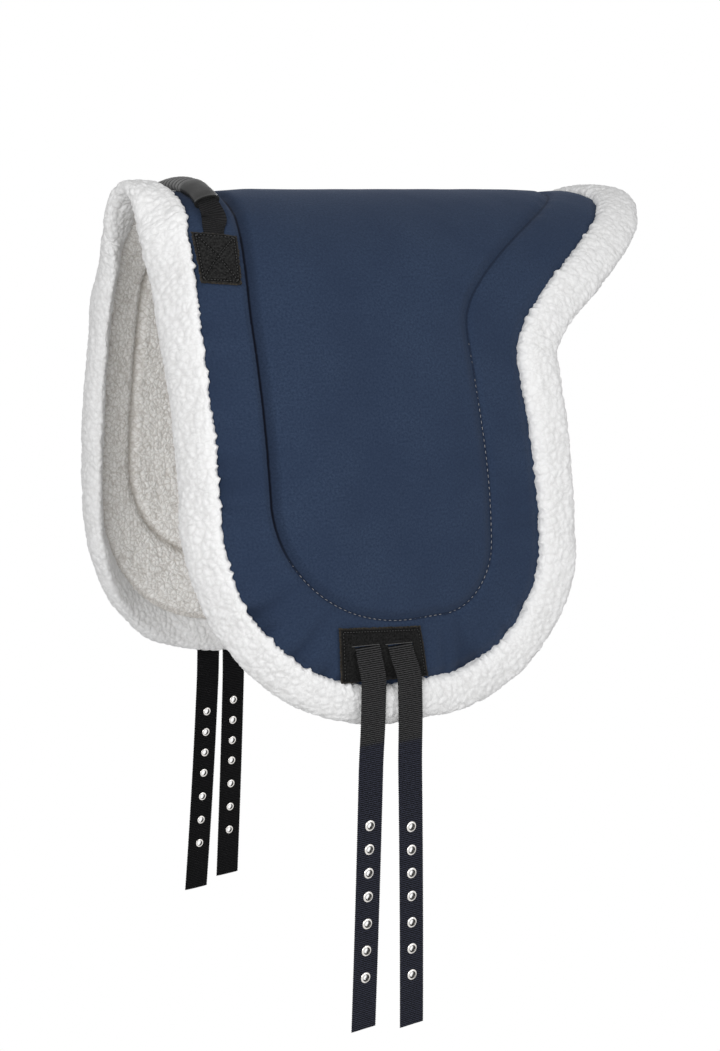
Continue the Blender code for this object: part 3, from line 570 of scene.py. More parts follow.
def fleece(name, light, shade, deep, curl, shown, raised, sewn=None):
    """Curly fleece: small curls over the modelled ones, with soft painted shade in the creases between them.
    """
    mat, tree, bsdf = shader(name, light, 1.0, 0.05, 0.15, 0.60)
    where = cloth_uv(tree)
    stir = add(tree, "TexNoise", Scale=150.0, Detail=2.0)
    tree.links.new(where, stir.inputs["Vector"])
    moved = tree.nodes.new("ShaderNodeVectorMath")
    moved.operation = "MULTIPLY_ADD"
    tree.links.new(stir.outputs["Color"], moved.inputs[0])
    moved.inputs[1].default_value = (curl, curl, curl)
    tree.links.new(where, moved.inputs[2])
    cells = add(tree, "TexVoronoi", voronoi_dimensions="2D", feature="DISTANCE_TO_EDGE", Scale=1.0 / curl)
    tree.links.new(moved.outputs[0], cells.inputs["Vector"])
    rim = cells.outputs["Distance"]
    crease = drawn(tree, "crease")
    where_shown = spread(tree, noise_of(tree, where, 30.0, 2.0), 0.35, 0.65, 0.70, 1.0)
    small = calc(tree, "MULTIPLY", spread(tree, rim, 0.0, 0.16, shown, 0.0), where_shown)
    fuzz = noise_of(tree, where, 1100.0, 4.0, 0.75)
    patches = noise_of(tree, where, 18.0, 3.0, 0.6)
    base = blend_colours(tree, spread(tree, patches, 0.35, 0.70, 0.0, 0.5), light, shade)
    base = blend_colours(tree, spread(tree, fuzz, 0.35, 0.85, 0.0, 0.4), base, shade)
    # Painted shade, in the deep colour, between the small curls and in the modelled creases.
    base = blend_colours(tree, small, base, deep)
    base = blend_colours(tree, spread(tree, crease, 0.35, 1.0, 0.0, 0.5), base, deep)
    # Painted shade along the sewn channel of the lining.
    if sewn is not None:
        gap = calc(tree, "ABSOLUTE", drawn(tree, "seam"))
        base = blend_colours(tree, spread(tree, gap, 0.0006, 0.0060, 0.55, 0.0), base, sewn)
    tree.links.new(base, bsdf.inputs["Base Color"])
    height = calc(tree, "ADD", spread(tree, rim, 0.0, 0.40), calc(tree, "MULTIPLY", fuzz, 0.35))
    bump(tree, bsdf, height, 0.0012, raised)
    return mat


def webbing(name, colour, thread, on_cloth=True, navy_from=None, gloss=0.11):
    """Woven webbing: rows of weft across the strap, warp threads stepping over them."""
    mat, tree, bsdf = shader(name, colour, 0.72, gloss)
    where = cloth_uv(tree) if on_cloth else add(tree, "TexCoord").outputs["Object"]
    parts = add(tree, "SeparateXYZ")
    tree.links.new(where, parts.inputs["Vector"])
    across = parts.outputs["X"]
    along = parts.outputs["Y"] if on_cloth else parts.outputs["Z"]
    rows = calc(tree, "SINE", calc(tree, "MULTIPLY", along, 2.0 * math.pi / WEFT_PITCH))
    warp = calc(tree, "SINE", calc(tree, "MULTIPLY", across, 2.0 * math.pi / WARP_PITCH))
    weave = calc(tree, "ADD", calc(tree, "MULTIPLY", rows, 0.48), calc(tree, "MULTIPLY", warp, 0.10))
    weave = calc(tree, "ADD", weave, 0.46)
    grain = noise_of(tree, where, 420.0, 3.0, 0.8)
    weave = calc(tree, "ADD", weave, spread(tree, grain, 0.30, 0.70, -0.36, 0.36))
    base = blend_colours(tree, spread(tree, weave, 0.15, 0.95), colour, thread)
    if navy_from is not None:
        blue = tuple(c * k for c, k in zip(thread, (0.62, 0.68, 1.05)))
        navy = blend_colours(tree, spread(tree, weave, 0.15, 0.95), colour, blue)
        base = blend_colours(tree, spread(tree, along, navy_from, navy_from + 0.004), base, navy)
    tree.links.new(base, bsdf.inputs["Base Color"])
    bump(tree, bsdf, weave, 0.0008, 1.0)
    return mat


def felted(name, colour, lighter):
    """Patch material: short, matt, slightly fuzzy cloth."""
    mat, tree, bsdf = shader(name, colour, 0.95, 0.05, 0.06)
    where = cloth_uv(tree)
    fibre = noise_of(tree, where, 430.0, 4.0, 0.80)
    rubbed = noise_of(tree, where, 40.0, 3.0, 0.6)
    sewn = drawn(tree, "seam")
    edge = drawn(tree, "crease")
    base = blend_colours(tree, spread(tree, fibre, 0.40, 0.64), colour, lighter)
    base = blend_colours(tree, spread(tree, rubbed, 0.45, 0.75, 0.0, 0.4), base, lighter)
    frayed = calc(tree, "MULTIPLY", edge, spread(tree, fibre, 0.35, 0.6))
    base = blend_colours(tree, frayed, base, (0.050, 0.042, 0.032))
    # Painted shade in the stitch grooves.
    base = blend_colours(tree, sewn, base, grey(0.0010))
    tree.links.new(base, bsdf.inputs["Base Color"])
    bump(tree, bsdf, calc(tree, "ADD", fibre, rubbed), 0.0010, 0.9)
    return mat


def rubber(name, colour, rough, gloss, groove=None):
    """Dusty black rubber, with painted shade in the grooves between ribs."""
    mat, tree, bsdf = shader(name, colour, rough, gloss)
    where = cloth_uv(tree)
    grain = noise_of(tree, where, 1500.0, 2.0, 0.6)
    dust = noise_of(tree, where, 70.0, 4.0, 0.65)
    pale = tuple(c * 1.45 + 0.004 for c in colour)
    base = blend_colours(tree, spread(tree, dust, 0.40, 0.80, 0.0, 0.7), colour, pale)
    if groove is not None:
        base = blend_colours(tree, drawn(tree, "crease"), base, groove)
    tree.links.new(base, bsdf.inputs["Base Color"])
    tree.links.new(spread(tree, dust, 0.3, 0.8, rough - 0.08, rough + 0.12), bsdf.inputs["Roughness"])
    bump(tree, bsdf, grain, 0.00015, 0.5)
    return mat


def nickel(name, bright):
    """Worn nickel; bright below 1 darkens it, as inside the bore."""
    mat, tree, bsdf = shader(name, (0.80, 0.78, 0.74), 0.20, metal=1.0)
    where = add(tree, "TexCoord").outputs["Object"]
    haze = noise_of(tree, where, 900.0, 3.0, 0.6)
    tree.links.new(spread(tree, haze, 0.3, 0.75, 0.16, 0.36), bsdf.inputs["Roughness"])
    clean = tuple(c * bright for c in (0.82, 0.80, 0.77))
    worn = tuple(c * bright for c in (0.60, 0.56, 0.50))
    base = blend_colours(tree, spread(tree, haze, 0.4, 0.8, 0.0, 0.5), clean, worn)
    tree.links.new(base, bsdf.inputs["Base Color"])
    return mat


def thread(name, colour):
    mat, tree, bsdf = shader(name, colour, 0.7)
    where = add(tree, "TexCoord").outputs["Object"]
    twist = noise_of(tree, where, 2500.0, 2.0, 0.5)
    base = blend_colours(tree, spread(tree, twist, 0.3, 0.7), colour, tuple(c * 0.65 for c in colour))
    tree.links.new(base, bsdf.inputs["Base Color"])
    return mat


LOOKS = {
    "suede": suede(),
    # Fleece colours: light, a darker tone scattered at random, and the deep colour of the painted shade in
    # the creases.
    "border": fleece("white_fleece", grey(0.80), (0.765, 0.765, 0.77), (0.64, 0.635, 0.63),
                     curl=0.0080, shown=0.45, raised=0.35),
    # The lining's sewn colour is painted shade in its quilted channel.
    "lining": fleece("natural_fleece", (0.88, 0.87, 0.85), (0.81, 0.795, 0.77), (0.42, 0.38, 0.34),
                     curl=0.0062, shown=0.55, raised=0.60, sewn=(0.190, 0.155, 0.115)),
    "webbing": webbing("black_webbing", (0.0060, 0.0060, 0.0065), (0.0210, 0.0210, 0.0220)),
    "strap": webbing("black_strap_webbing", (0.0010, 0.0010, 0.0012), (0.0620, 0.0620, 0.0630),
                     navy_from=0.105),
    # Painted shade: a darker copy of the strap webbing for the far straps, which hang in shade behind the
    # near flap.
    "shaded_far_strap": webbing("black_strap_webbing_shaded", (0.0020, 0.0020, 0.0022),
                         (0.0150, 0.0150, 0.0160), gloss=0.05),
    "webbing_inner": webbing("black_webbing_inner", (0.0050, 0.0052, 0.0060), (0.016, 0.016, 0.018),
                             on_cloth=False),
    "patch": felted("black_patch", grey(0.0025), grey(0.0320)),
    "girth_patch": felted("black_girth_patch", grey(0.0010), grey(0.0190)),
    # The grip's groove colour is painted shade between its ribs.
    "rubber": rubber("grip_rubber", grey(0.170), 0.55, 0.06, groove=grey(0.0010)),
    "sleeve": rubber("sleeve_rubber", grey(0.014), 0.40, 0.22),
    "nickel": nickel("nickel_silver", 1.0),
    "bore": nickel("nickel_in_shadow", 0.10),
    "pale_thread": thread("pale_thread", (0.36, 0.36, 0.37)),
    "black_thread": thread("black_thread", grey(0.040)),
    "raw_edge": thread("raw_edge", grey(0.11)),
}


def paint(obj, look):
    obj.data.materials.clear()
    obj.data.materials.append(LOOKS[look])


def dress(obj, look):
    paint(obj, look)
    return obj


def bend(obj):
    """Bake the placement of a piece of one half of the pad into its mesh."""
    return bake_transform(obj)


# Cover and lining of one half

SEAM_LINE, SEAM_PLACE = outline(SEAM, 1200)
EDGE_LINE, EDGE_PLACE = outline(EDGE, 1200)


def half_rows(grow):
    """Pattern v of the rows: evenly spaced down the side, closing up towards the lower edge."""
    low = EDGE["rear_corner"][1] + grow
    turn = EDGE["drop"] - EDGE["rear_corner"][1]
    upper = np.linspace(0.0, turn, int(turn / ROW_PITCH) + 1)
    a = np.linspace(0.0, 0.5 * math.pi, int(low * 1.45 / ROW_PITCH))[1:]
    return np.concatenate([upper, turn + low * np.sin(a)])


def half_pattern(grow, columns):
    """Grid of pattern points over one half, grown outwards under the border."""
    v = half_rows(grow)
    front, rear = limits(EDGE, v, grow)
    share = np.linspace(0.0, 1.0, columns + 1)
    x = front[:, None] * (1.0 - share) + rear[:, None] * share
    return x, np.broadcast_to(v[:, None], x.shape).copy()


def puckers(place, distance):
    """Small folds that run out from a sewn line, from -1 to 1."""
    p = np.stack([place, distance * 0.16, np.zeros_like(place)], axis=-1)
    return drift(p, 0.016, 61) * 0.6 + drift(p, 0.007, 62) * 0.4


def fold_over(x, v):
    """How far the seat folds over its seam: fully down the front, little below and at the rear."""
    return 0.45 + 0.55 * (1.0 - ease((v - 0.40) / 0.10)) * ease(0.5 - (x + 0.12) / 0.10)


def cover_depth(x, v):
    """Depth of the cover's face, the distance to the seam, and how deep in a pucker (0 to 1), for painted
    shade.
    """
    p = np.stack([x, v], axis=-1)
    seam, seam_place = line_distance(p, SEAM_LINE, SEAM_PLACE)
    edge, edge_place = line_distance(p, EDGE_LINE, EDGE_PLACE)
    inside = seam > 0.0
    t = np.abs(seam)
    sink = BAND_SINK + (CHANNEL_SINK - BAND_SINK) * (0.35 + 0.65 * fold_over(x, v))
    seat = sink * (1.0 - ease(t / 0.016)) ** 1.5 - (SEAT_CROWN + 0.0005) * ease((t - 0.003) / 0.050)
    band = BAND_SINK + (sink - BAND_SINK) * (1.0 - ease(t / 0.009)) ** 2.0
    low = ease((v - 0.30) / 0.18)
    band -= 0.0006 * ease(t / 0.02) * ease(edge / 0.02)
    depth = np.where(inside, seat, band)
    depth += (EDGE_SINK - BAND_SINK) * (1.0 - ease(edge / 0.015)) ** 1.3
    reach = np.exp(-np.maximum(edge, 0.0) / 0.026)
    folds = puckers(edge_place, edge) * reach * (0.20 + 0.80 * low)
    folds *= np.where(inside, 0.0, 1.0)
    depth -= 0.0034 * folds
    depth -= 0.0010 * puckers(seam_place, t) * np.exp(-t / 0.010) * ease(t / 0.002)
    q = np.stack([x, v, np.zeros_like(x)], axis=-1)
    depth -= 0.0006 * drift(q, 0.09, 5) + 0.0003 * drift(q, 0.03, 6)
    return depth, seam, np.clip(-1.6 * folds, 0.0, 1.0)


def lining_depth(x, v):
    """Depth of the lining's face, and the distances to the seam and to the edge."""
    p = np.stack([x, v], axis=-1)
    seam, _ = line_distance(p, SEAM_LINE, SEAM_PLACE)
    edge, _ = line_distance(p, EDGE_LINE, EDGE_PLACE)
    t = np.abs(seam)
    depth = PAD - 0.0005 - INNER_CHANNEL * (1.0 - ease(t / 0.014)) ** 1.5
    depth += 0.0008 * ease(t / 0.04) * np.where(seam > 0.0, 1.0, 0.6)
    depth -= INNER_EDGE * (1.0 - ease(edge / 0.013)) ** 1.3
    return depth, seam, edge


def sheet_piece(name, side, columns, curly):
    """One half of the lining if curly, or else of the cover, as a closed piece of two faces."""
    x, v = half_pattern(TUCK, columns)
    rows = x.shape[0]
    x = x.ravel()
    v = v.ravel()
    if curly:
        show, seam, edge = lining_depth(x, v)
        back = np.minimum(show - 0.0012, PAD - LINING - 0.0040)
    else:
        show, seam, crease = cover_depth(x, v)
        back = np.maximum(show + 0.0012, PAD - LINING - 0.0045)
    points = drape(x, side * v, show)
    back_points = drape(x, side * v, back)
    if curly:
        n = grid_normals(points.reshape(rows, columns + 1, 3), False).reshape(-1, 3)
        height, crease = fleece_relief(points, LINING_CURL, 11, 0.7)
        inward = drape(x, side * v, show + 0.001) - points
        n *= np.sign((n * inward).sum(axis=1, keepdims=True))
        moved = n * height[:, None]
        moved[:, 1] *= np.where(v < 1e-6, 0.0, 1.0)
        points = points + moved
        # Painted shade on the lining along its edge, under the border's roll.
        crease = np.maximum(crease, 0.9 * np.exp(-(np.maximum(edge, 0.0) / 0.0040) ** 2))
    obj = new_object(name, two_layers(grid(columns, rows - 1)), 60.0)
    mesh = obj.data
    cell = read_points(mesh)
    k = cell[:, 1].astype(int) * (columns + 1) + cell[:, 0].astype(int)
    lower = cell[:, 2] > 0.5
    set_uv(mesh, np.stack([x, v * side], axis=-1)[k])
    set_value(mesh, "seam", seam[k])
    set_value(mesh, "fold", fold_over(x, v)[k])
    set_value(mesh, "crease", crease[k])
    write_points(mesh, np.where(lower[:, None], back_points[k], points[k]))
    face_outwards(mesh, 60.0)
    return obj


def along_outline(values, place, sigma):
    """Average of points along an outline over a bell of width sigma; they mirror over the spine."""
    flip = np.array([1.0, -1.0, 1.0])
    whole = np.concatenate([values[:0:-1] * flip, values, values[-2::-1] * flip])
    step = place[1] - place[0]
    reach = int(3.0 * sigma / step)
    bell = np.exp(-0.5 * (np.arange(-reach, reach + 1) * step / sigma) ** 2)
    out = np.zeros_like(values)
    for k, share in enumerate(bell / bell.sum()):
        at = len(values) - 1 + k - reach
        out += share * whole[at:at + len(values)]
    return out


def locks(place):
    """How far the fleece reaches over the cover at each place along the border."""
    wander = np.stack([place, np.zeros_like(place), np.zeros_like(place)], axis=-1)
    phase = place / TOOTH_PITCH + 1.3 * drift(wander, 0.030, 91)
    cell = np.floor(phase).astype(np.int64)
    size = scramble(np.stack([cell, cell * 0, cell * 0], axis=-1), 92)
    share = phase - cell
    tufts = TOOTH_REACH * (0.10 + 0.90 * size) * (1.0 - np.abs(2.0 * share - 1.0)) ** 1.3
    return tufts + 0.30 * TOOTH_REACH * drift(wander, 0.0028, 93)


def roll_section():
    """Width and height of points evenly spaced round the border's section, and its girth."""
    a = np.linspace(0.0, 2.0 * math.pi, 721)
    c, s = np.cos(a), np.sin(a)
    power = 2.0 / ROLL_SQUARE
    w = 0.5 * (ROLL_WIDTH - GAP) * np.sign(c) * np.abs(c) ** power
    h = 0.5 * ROLL_THICK * np.sign(s) * np.abs(s) ** power
    arc = np.concatenate([[0.0], np.cumsum(np.hypot(np.diff(w), np.diff(h)))])
    even = np.linspace(0.0, arc[-1], int(arc[-1] / BORDER_PITCH) + 1)[:-1]
    return np.interp(even, arc, w), np.interp(even, arc, h), arc[-1]


def border_piece(name, side):
    """Fleece border of one half, a soft roll from the spine round the flap and back."""
    w, h, girth = roll_section()
    around = len(w)
    count = int(outline(EDGE, 400)[1][-1] / BORDER_PITCH)
    line, place = outline(EDGE, count)
    n = outward(line)
    x, v = line[:, 0], line[:, 1]
    crest = np.where(x < 0.0, 1.0 - ease(v / ROLL_LIFT_V), 0.0)
    thick = ROLL_THICK - (ROLL_THICK - ROLL_CREST) * crest
    centre = 0.5 * thick - ROLL_PROUD - ROLL_LIFT * crest
    curl = ROLL_CURL * np.maximum(-n[:, 0], 0.0) * ease((v - CURL_V[0]) / (CURL_V[1] - CURL_V[0]))
    wider = 1.0 + (ROLL_REAR_WIDTH / ROLL_WIDTH - 1.0) * ease((n[:, 0] + 0.30) / 0.80)
    reach = GAP + (0.5 * (ROLL_WIDTH - GAP) + w[None, :]) * wider[:, None]
    outer = ease(0.5 - h[None, :] / 0.012)
    beside = np.exp(-(reach / 0.0065) ** 2) * outer
    sunk = reach - locks(place)[:, None] * beside
    px = x[:, None] + n[:, 0:1] * sunk
    pv = v[:, None] + n[:, 1:2] * sunk
    depth = centre[:, None] + h[None, :] * (thick / ROLL_THICK)[:, None] + curl[:, None] * reach
    middle_x = x + 0.5 * ROLL_WIDTH * n[:, 0]
    middle_v = side * (v + 0.5 * ROLL_WIDTH * n[:, 1])
    out_way = drape(middle_x, middle_v, 0.0) - drape(middle_x, middle_v, 0.001)
    out_way = along_outline(out_way, place, ROLL_CALM[0])
    out_way /= np.linalg.norm(out_way, axis=1, keepdims=True)
    points = drape(px, side * pv, 0.0) - out_way[:, None, :] * depth[..., None]
    rows = np.stack([along_outline(points[:, k], place, ROLL_CALM[1]) for k in range(around)], axis=1)
    share = ease(reach / (0.7 * ROLL_WIDTH)) * (1.0 - ease((place[:, None] - 0.22) / 0.15))
    points += share[..., None] * (rows - points)
    if side > 0.0:
        points[..., 0] += FAR_SHIFT * np.exp(-((place - 0.090) / 0.030) ** 2)[:, None]
    normal = grid_normals(points, True)
    inner = points.mean(axis=1, keepdims=True)
    normal *= np.sign(((points - inner) * normal).sum(axis=(1, 2), keepdims=True))
    flat = points.reshape(-1, 3)
    height, crease = fleece_relief(flat, BORDER_CURL, 3)
    calm = beside.ravel()
    height *= 1.0 - 0.55 * calm
    height -= CREST_LOWER * np.broadcast_to(crest[:, None], (count, around)).ravel()
    # Beside the cover the fleece turns down to the seam: smaller curls, and painted shade through the crease
    # colour.
    crease = np.maximum(crease * (1.0 - 0.6 * calm), 0.40 * calm)
    sag = 0.0012 * drift(flat, 0.055, 77) + 0.0008 * drift(flat, 0.022, 78)
    join = np.exp(-((x - JOIN_X["near" if side < 0.0 else "far"]) / 0.0022) ** 2) * (v > 0.5 * EDGE["drop"])
    join = np.broadcast_to(join[:, None], (count, around)).ravel()
    crease = np.maximum(crease, 0.8 * join)
    moved = normal.reshape(-1, 3) * (height - 0.0006 + sag - 0.0030 * join)[:, None]
    ends = np.zeros((count, around), bool)
    ends[0] = ends[-1] = True
    moved[ends.ravel(), 1] = 0.0
    points = (flat + moved).reshape(count, around, 3)
    points[0, :, 1] = points[-1, :, 1] = 0.0
    turn = np.linspace(0.0, girth, around + 1)
    uv = np.stack(np.broadcast_arrays(turn[None, :], place[:, None]), axis=-1)
    return tube(name, points, uv, crease.reshape(count, around))


def stitch_mesh(rows, length, width, height):
    """Stitches as small capsules: each row is a list of points with the ways out of the cloth."""
    bm = bmesh.new()
    for points, ups in rows:
        last = len(points) - 1
        for k, point in enumerate(points):
            along = Vector(points[min(k + 1, last)] - points[max(k - 1, 0)]).normalized()
            across = Vector(ups[k]).cross(along).normalized()
            turn = Matrix((along, across, along.cross(across))).transposed().to_4x4()
            size = Matrix.Diagonal((0.5 * length, 0.5 * width, 0.5 * height, 1.0))
            bmesh.ops.create_uvsphere(bm, u_segments=6, v_segments=5, radius=1.0,
                                      matrix=Matrix.Translation(point) @ turn @ size)
    return bm


def seam_stitches(prefix, side):
    """Stitches in the channel between seat and band; the folds hide them high on the front."""
    line, _ = outline(SEAM, int(SEAM_PLACE[-1] / SEAM_STITCH_PITCH))
    line = line[1:-1]
    depth, _, _ = cover_depth(line[:, 0], line[:, 1])
    hidden = np.maximum(fold_over(line[:, 0], line[:, 1]), 1.05 - ease((line[:, 1] - 0.18) / 0.20))
    lift = depth - 0.0005 + 0.0011 * hidden
    points = drape(line[:, 0], side * line[:, 1], lift)
    ups = drape(line[:, 0], side * line[:, 1], lift - 0.001) - points
    bm = stitch_mesh([(points, ups)], *SEAM_STITCH)
    obj = dress(new_object(prefix + "_seam_stitches", bm, 70.0), "pale_thread")
    return bend(obj)


def pad_halves():
    for prefix, side in SIDES:
        cover = dress(sheet_piece(prefix + "_cover", side, 150, False), "suede")
        cover_nodes = [prefix + "_flap_cover", prefix + "_flap_foam"]
        lining = dress(sheet_piece(prefix + "_lining", side, 170, True), "lining")
        lining_nodes = [prefix + "_flap_lining"]
        border = dress(border_piece(prefix + "_border", side), "border")
        border_nodes = [prefix + "_flap_roll"]
        if prefix == "near":
            cover_nodes += ["seat_cover", "seat_foam"]
            lining_nodes += ["seat_lining"]
            border_nodes += ["front_arch_roll", "rear_arch_roll"]
        for obj, nodes, fill in ((cover, cover_nodes, 0.8), (lining, lining_nodes, 0.7),
                                 (border, border_nodes, 0.7)):
            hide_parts(*nodes)
            bend(obj)
        seam_stitches(prefix, side)


# Patches

def on_patch(corners, a, b):
    """Pattern point at shares a across and b down a four-cornered patch."""
    top_front, top_rear, low_rear, low_front = [np.array(c) for c in corners]
    a = np.asarray(a, float)[..., None]
    b = np.asarray(b, float)[..., None]
    top = top_front + a * (top_rear - top_front)
    low = low_front + a * (low_rear - low_front)
    point = top + b * (low - top)
    return point[..., 0], point[..., 1]


def patch_size(corners):
    return corners[1][0] - corners[0][0], corners[3][1] - corners[0][1]


def line_gap(a, b, line, size):
    """Distance in metres from shares (a, b) of a patch to a straight sewn line."""
    start, end = np.array(line[0]) * size, np.array(line[1]) * size
    point = np.stack([a * size[0], b * size[1]], axis=-1)
    way = end - start
    t = np.clip(((point - start) @ way) / (way @ way), 0.0, 1.0)
    return np.linalg.norm(point - start - t[:, None] * way, axis=1)


def plate(name, corners, side, holes, lines, wave, look, over=None):
    """Sewn patch: a draped plate with frayed rim, drawn in at its stitching; holes let straps out."""
    size = np.array(patch_size(corners))
    columns, rows = int(size[0] / PATCH_PITCH), int(size[1] / PATCH_PITCH)
    bm = grid(columns, rows)
    gone = []
    for face in bm.faces:
        c = face.calc_center_median()
        if any(a0 < c.x / columns < a1 and b0 < c.y / rows < b1 for a0, a1, b0, b1 in holes):
            gone.append(face)
    if gone:
        bmesh.ops.delete(bm, geom=gone, context="FACES")
    obj = new_object(name, two_layers(bm), 50.0)
    mesh = obj.data
    cell = read_points(mesh)
    lower = cell[:, 2] > 0.5
    a, b = cell[:, 0] / columns, cell[:, 1] / rows
    x, v = on_patch(corners, a, b)
    flat = np.stack([x, v, np.zeros_like(x)], axis=-1)
    rim = np.minimum(np.minimum(a, 1.0 - a) * size[0], np.minimum(b, 1.0 - b) * size[1])
    ragged = 0.0007 * drift(flat, 0.0016, 31) * (rim < 0.0004)
    thin = 0.0010 * (1.0 - ease(rim / 0.0022))
    swell = wave * drift(flat, 0.018, 32) * ease(rim / 0.004)
    sewn = np.zeros_like(a)
    for line in lines:
        sewn = np.maximum(sewn, np.exp(-(line_gap(a, b, line, size) / 0.0011) ** 2))
    swell -= 0.0006 * sewn
    if over is not None:
        swell += over(x, v)
    depth = np.where(lower, PATCH_OUTER + PATCH_THICK, PATCH_OUTER + thin - swell)
    set_uv(mesh, np.stack([x, v], axis=-1))
    set_value(mesh, "crease", np.exp(-(rim / 0.0011) ** 2))
    set_value(mesh, "seam", sewn)
    write_points(mesh, drape(x + ragged, side * (v + ragged), depth))
    face_outwards(mesh, 50.0)
    return dress(obj, look)


def sewn_lines(name, corners, lines, side, body, look="black_thread", pitch=0.0034, length=0.0024,
               sunk=-0.0001):
    """Rows of stitches along straight lines of a patch, given in its shares."""
    size = np.array(patch_size(corners))
    rows = []
    for start, end in lines:
        count = max(int(np.linalg.norm((np.array(end) - np.array(start)) * size) / pitch), 3)
        share = (np.arange(count) + 0.5) / count
        a, b = [start[k] + (end[k] - start[k]) * share for k in range(2)]
        x, v = on_patch(corners, a, b)
        points = drape(x, side * v, PATCH_OUTER + sunk)
        rows.append((points, drape(x, side * v, PATCH_OUTER + sunk - 0.001) - points))
    obj = new_object(name, stitch_mesh(rows, length, 0.0008, 0.0008), 70.0)
    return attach(dress(obj, look), body)


def handle_patches():
    size = patch_size(HANDLE_PATCH)
    a, b = 0.0036 / size[0], 0.0036 / size[1]
    box = [(a, b), (1.0 - a, b), (1.0 - a, 1.0 - b), (a, 1.0 - b)]
    lines = [(box[k], box[(k + 1) % 4]) for k in range(4)] + [(box[0], box[2]), (box[1], box[3])]

    def over_webbing(x, v):
        beside = np.abs(x - HANDLE_X) - 0.5 * WEB_WIDTH
        return 0.0007 * (1.0 - ease(beside / 0.003)) * (1.0 - ease((v - 0.150) / 0.006))

    for prefix, side in SIDES:
        patch = plate(prefix + "_handle_patch_cloth", HANDLE_PATCH, side, [], lines, 0.0005, "patch",
                      over_webbing)
        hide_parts(prefix + "_handle_patch")
        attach(patch, "seat")
        sewn_lines(prefix + "_handle_patch_stitches", HANDLE_PATCH, lines, side, "seat")


def girth_corners(prefix):
    return [(GIRTH_X[prefix] + x, v) for x, v in GIRTH_PATCH]


def slot_of(prefix, x):
    return SLOT_V + GIRTH_TILT * (x - GIRTH_X[prefix])


def girth_patches():
    for prefix, side in SIDES:
        corners = girth_corners(prefix)
        size = patch_size(corners)
        half = (0.5 * STRAP_WIDTH + 0.0008) / size[0]
        high = 0.5 * SLOT_HEIGHT / size[1]
        holes = []
        for shift in (-0.5, 0.5):
            x = GIRTH_X[prefix] + shift * STRAP_SPACING
            top = 0.5 * (corners[0][1] + corners[1][1])
            top += shift * STRAP_SPACING * (corners[1][1] - corners[0][1]) / size[0]
            b = (slot_of(prefix, x) + SLOT_DROP - top) / size[1]
            left = corners[0][0] + b * (corners[3][0] - corners[0][0])
            a = (x + SLOT_SHIFT - left) / size[0]
            holes.append((a - half, a + half, b - high, b + high))
        m, n = 0.0040 / size[0], 0.0040 / size[1]
        lines = [((m, 1.0 - n), (m, n)), ((m, n), (1.0 - m, n)), ((1.0 - m, n), (1.0 - m, 1.0 - n))]
        body = prefix + "_flap"
        patch = plate(prefix + "_girth_patch_cloth", corners, side, holes, lines, 0.0006, "girth_patch")
        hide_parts(prefix + "_girth_patch")
        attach(patch, body)
        sewn_lines(prefix + "_girth_patch_stitches", corners, lines, side, body)
        raw = [((a0 - 0.035, b0 + 0.0002 / size[1]), (a1 - 0.02, b0 - 0.0010 / size[1]))
               for a0, a1, b0, _ in holes]
        sewn_lines(prefix + "_slot_edges", corners, raw, side, body, "raw_edge", 0.0019, 0.0022, -0.0002)


# Straps and eyelets

def eyelet_drops(key):
    """Distances of the eyelets along a strap, closer together above than below."""
    drops = []
    for i in range(EYELETS):
        wide = max(i - UPPER_EYELETS + 1, 0)
        drops.append(FIRST_EYELET[key] + (i - wide) * EYELET_PITCH + wide * WIDE_PITCH)
    return drops


def strap_line(key, s):
    """Outward offset, sideways place and drop at a distance s along a strap."""
    rise = ease(s / 0.045)
    fall = ease((s - 0.075) / 0.063)
    out = STRAP_BULGE * rise * (1.0 - fall) + STRAP_HANG * fall
    turn_in = np.maximum(SLOT_DROP + 0.0025 - s, 0.0)
    steady, curve = STRAP_SWAY[key]
    shift = SLOT_SHIFT if key.startswith("near") else 0.0
    sideways = shift * (1.0 - rise) + steady * rise + curve * (np.maximum(s, 0.0) / 0.3) ** 2
    return out - 320.0 * turn_in ** 2, sideways - STRAP_LEAN[key] * np.maximum(s, 0.0), -s


def eyelet_spots(key, place, side):
    """Places of a strap's eyelets, with their axes turned to point outwards from the pad."""
    spots = []
    for d in eyelet_drops(key):
        out, x, z = strap_line(key, d)
        centre = Matrix.Translation((place[0] + x, place[1] + side * out, place[2] + z))
        spots.append(centre @ Matrix.Rotation(-side * 0.5 * math.pi, 4, "X"))
    return spots


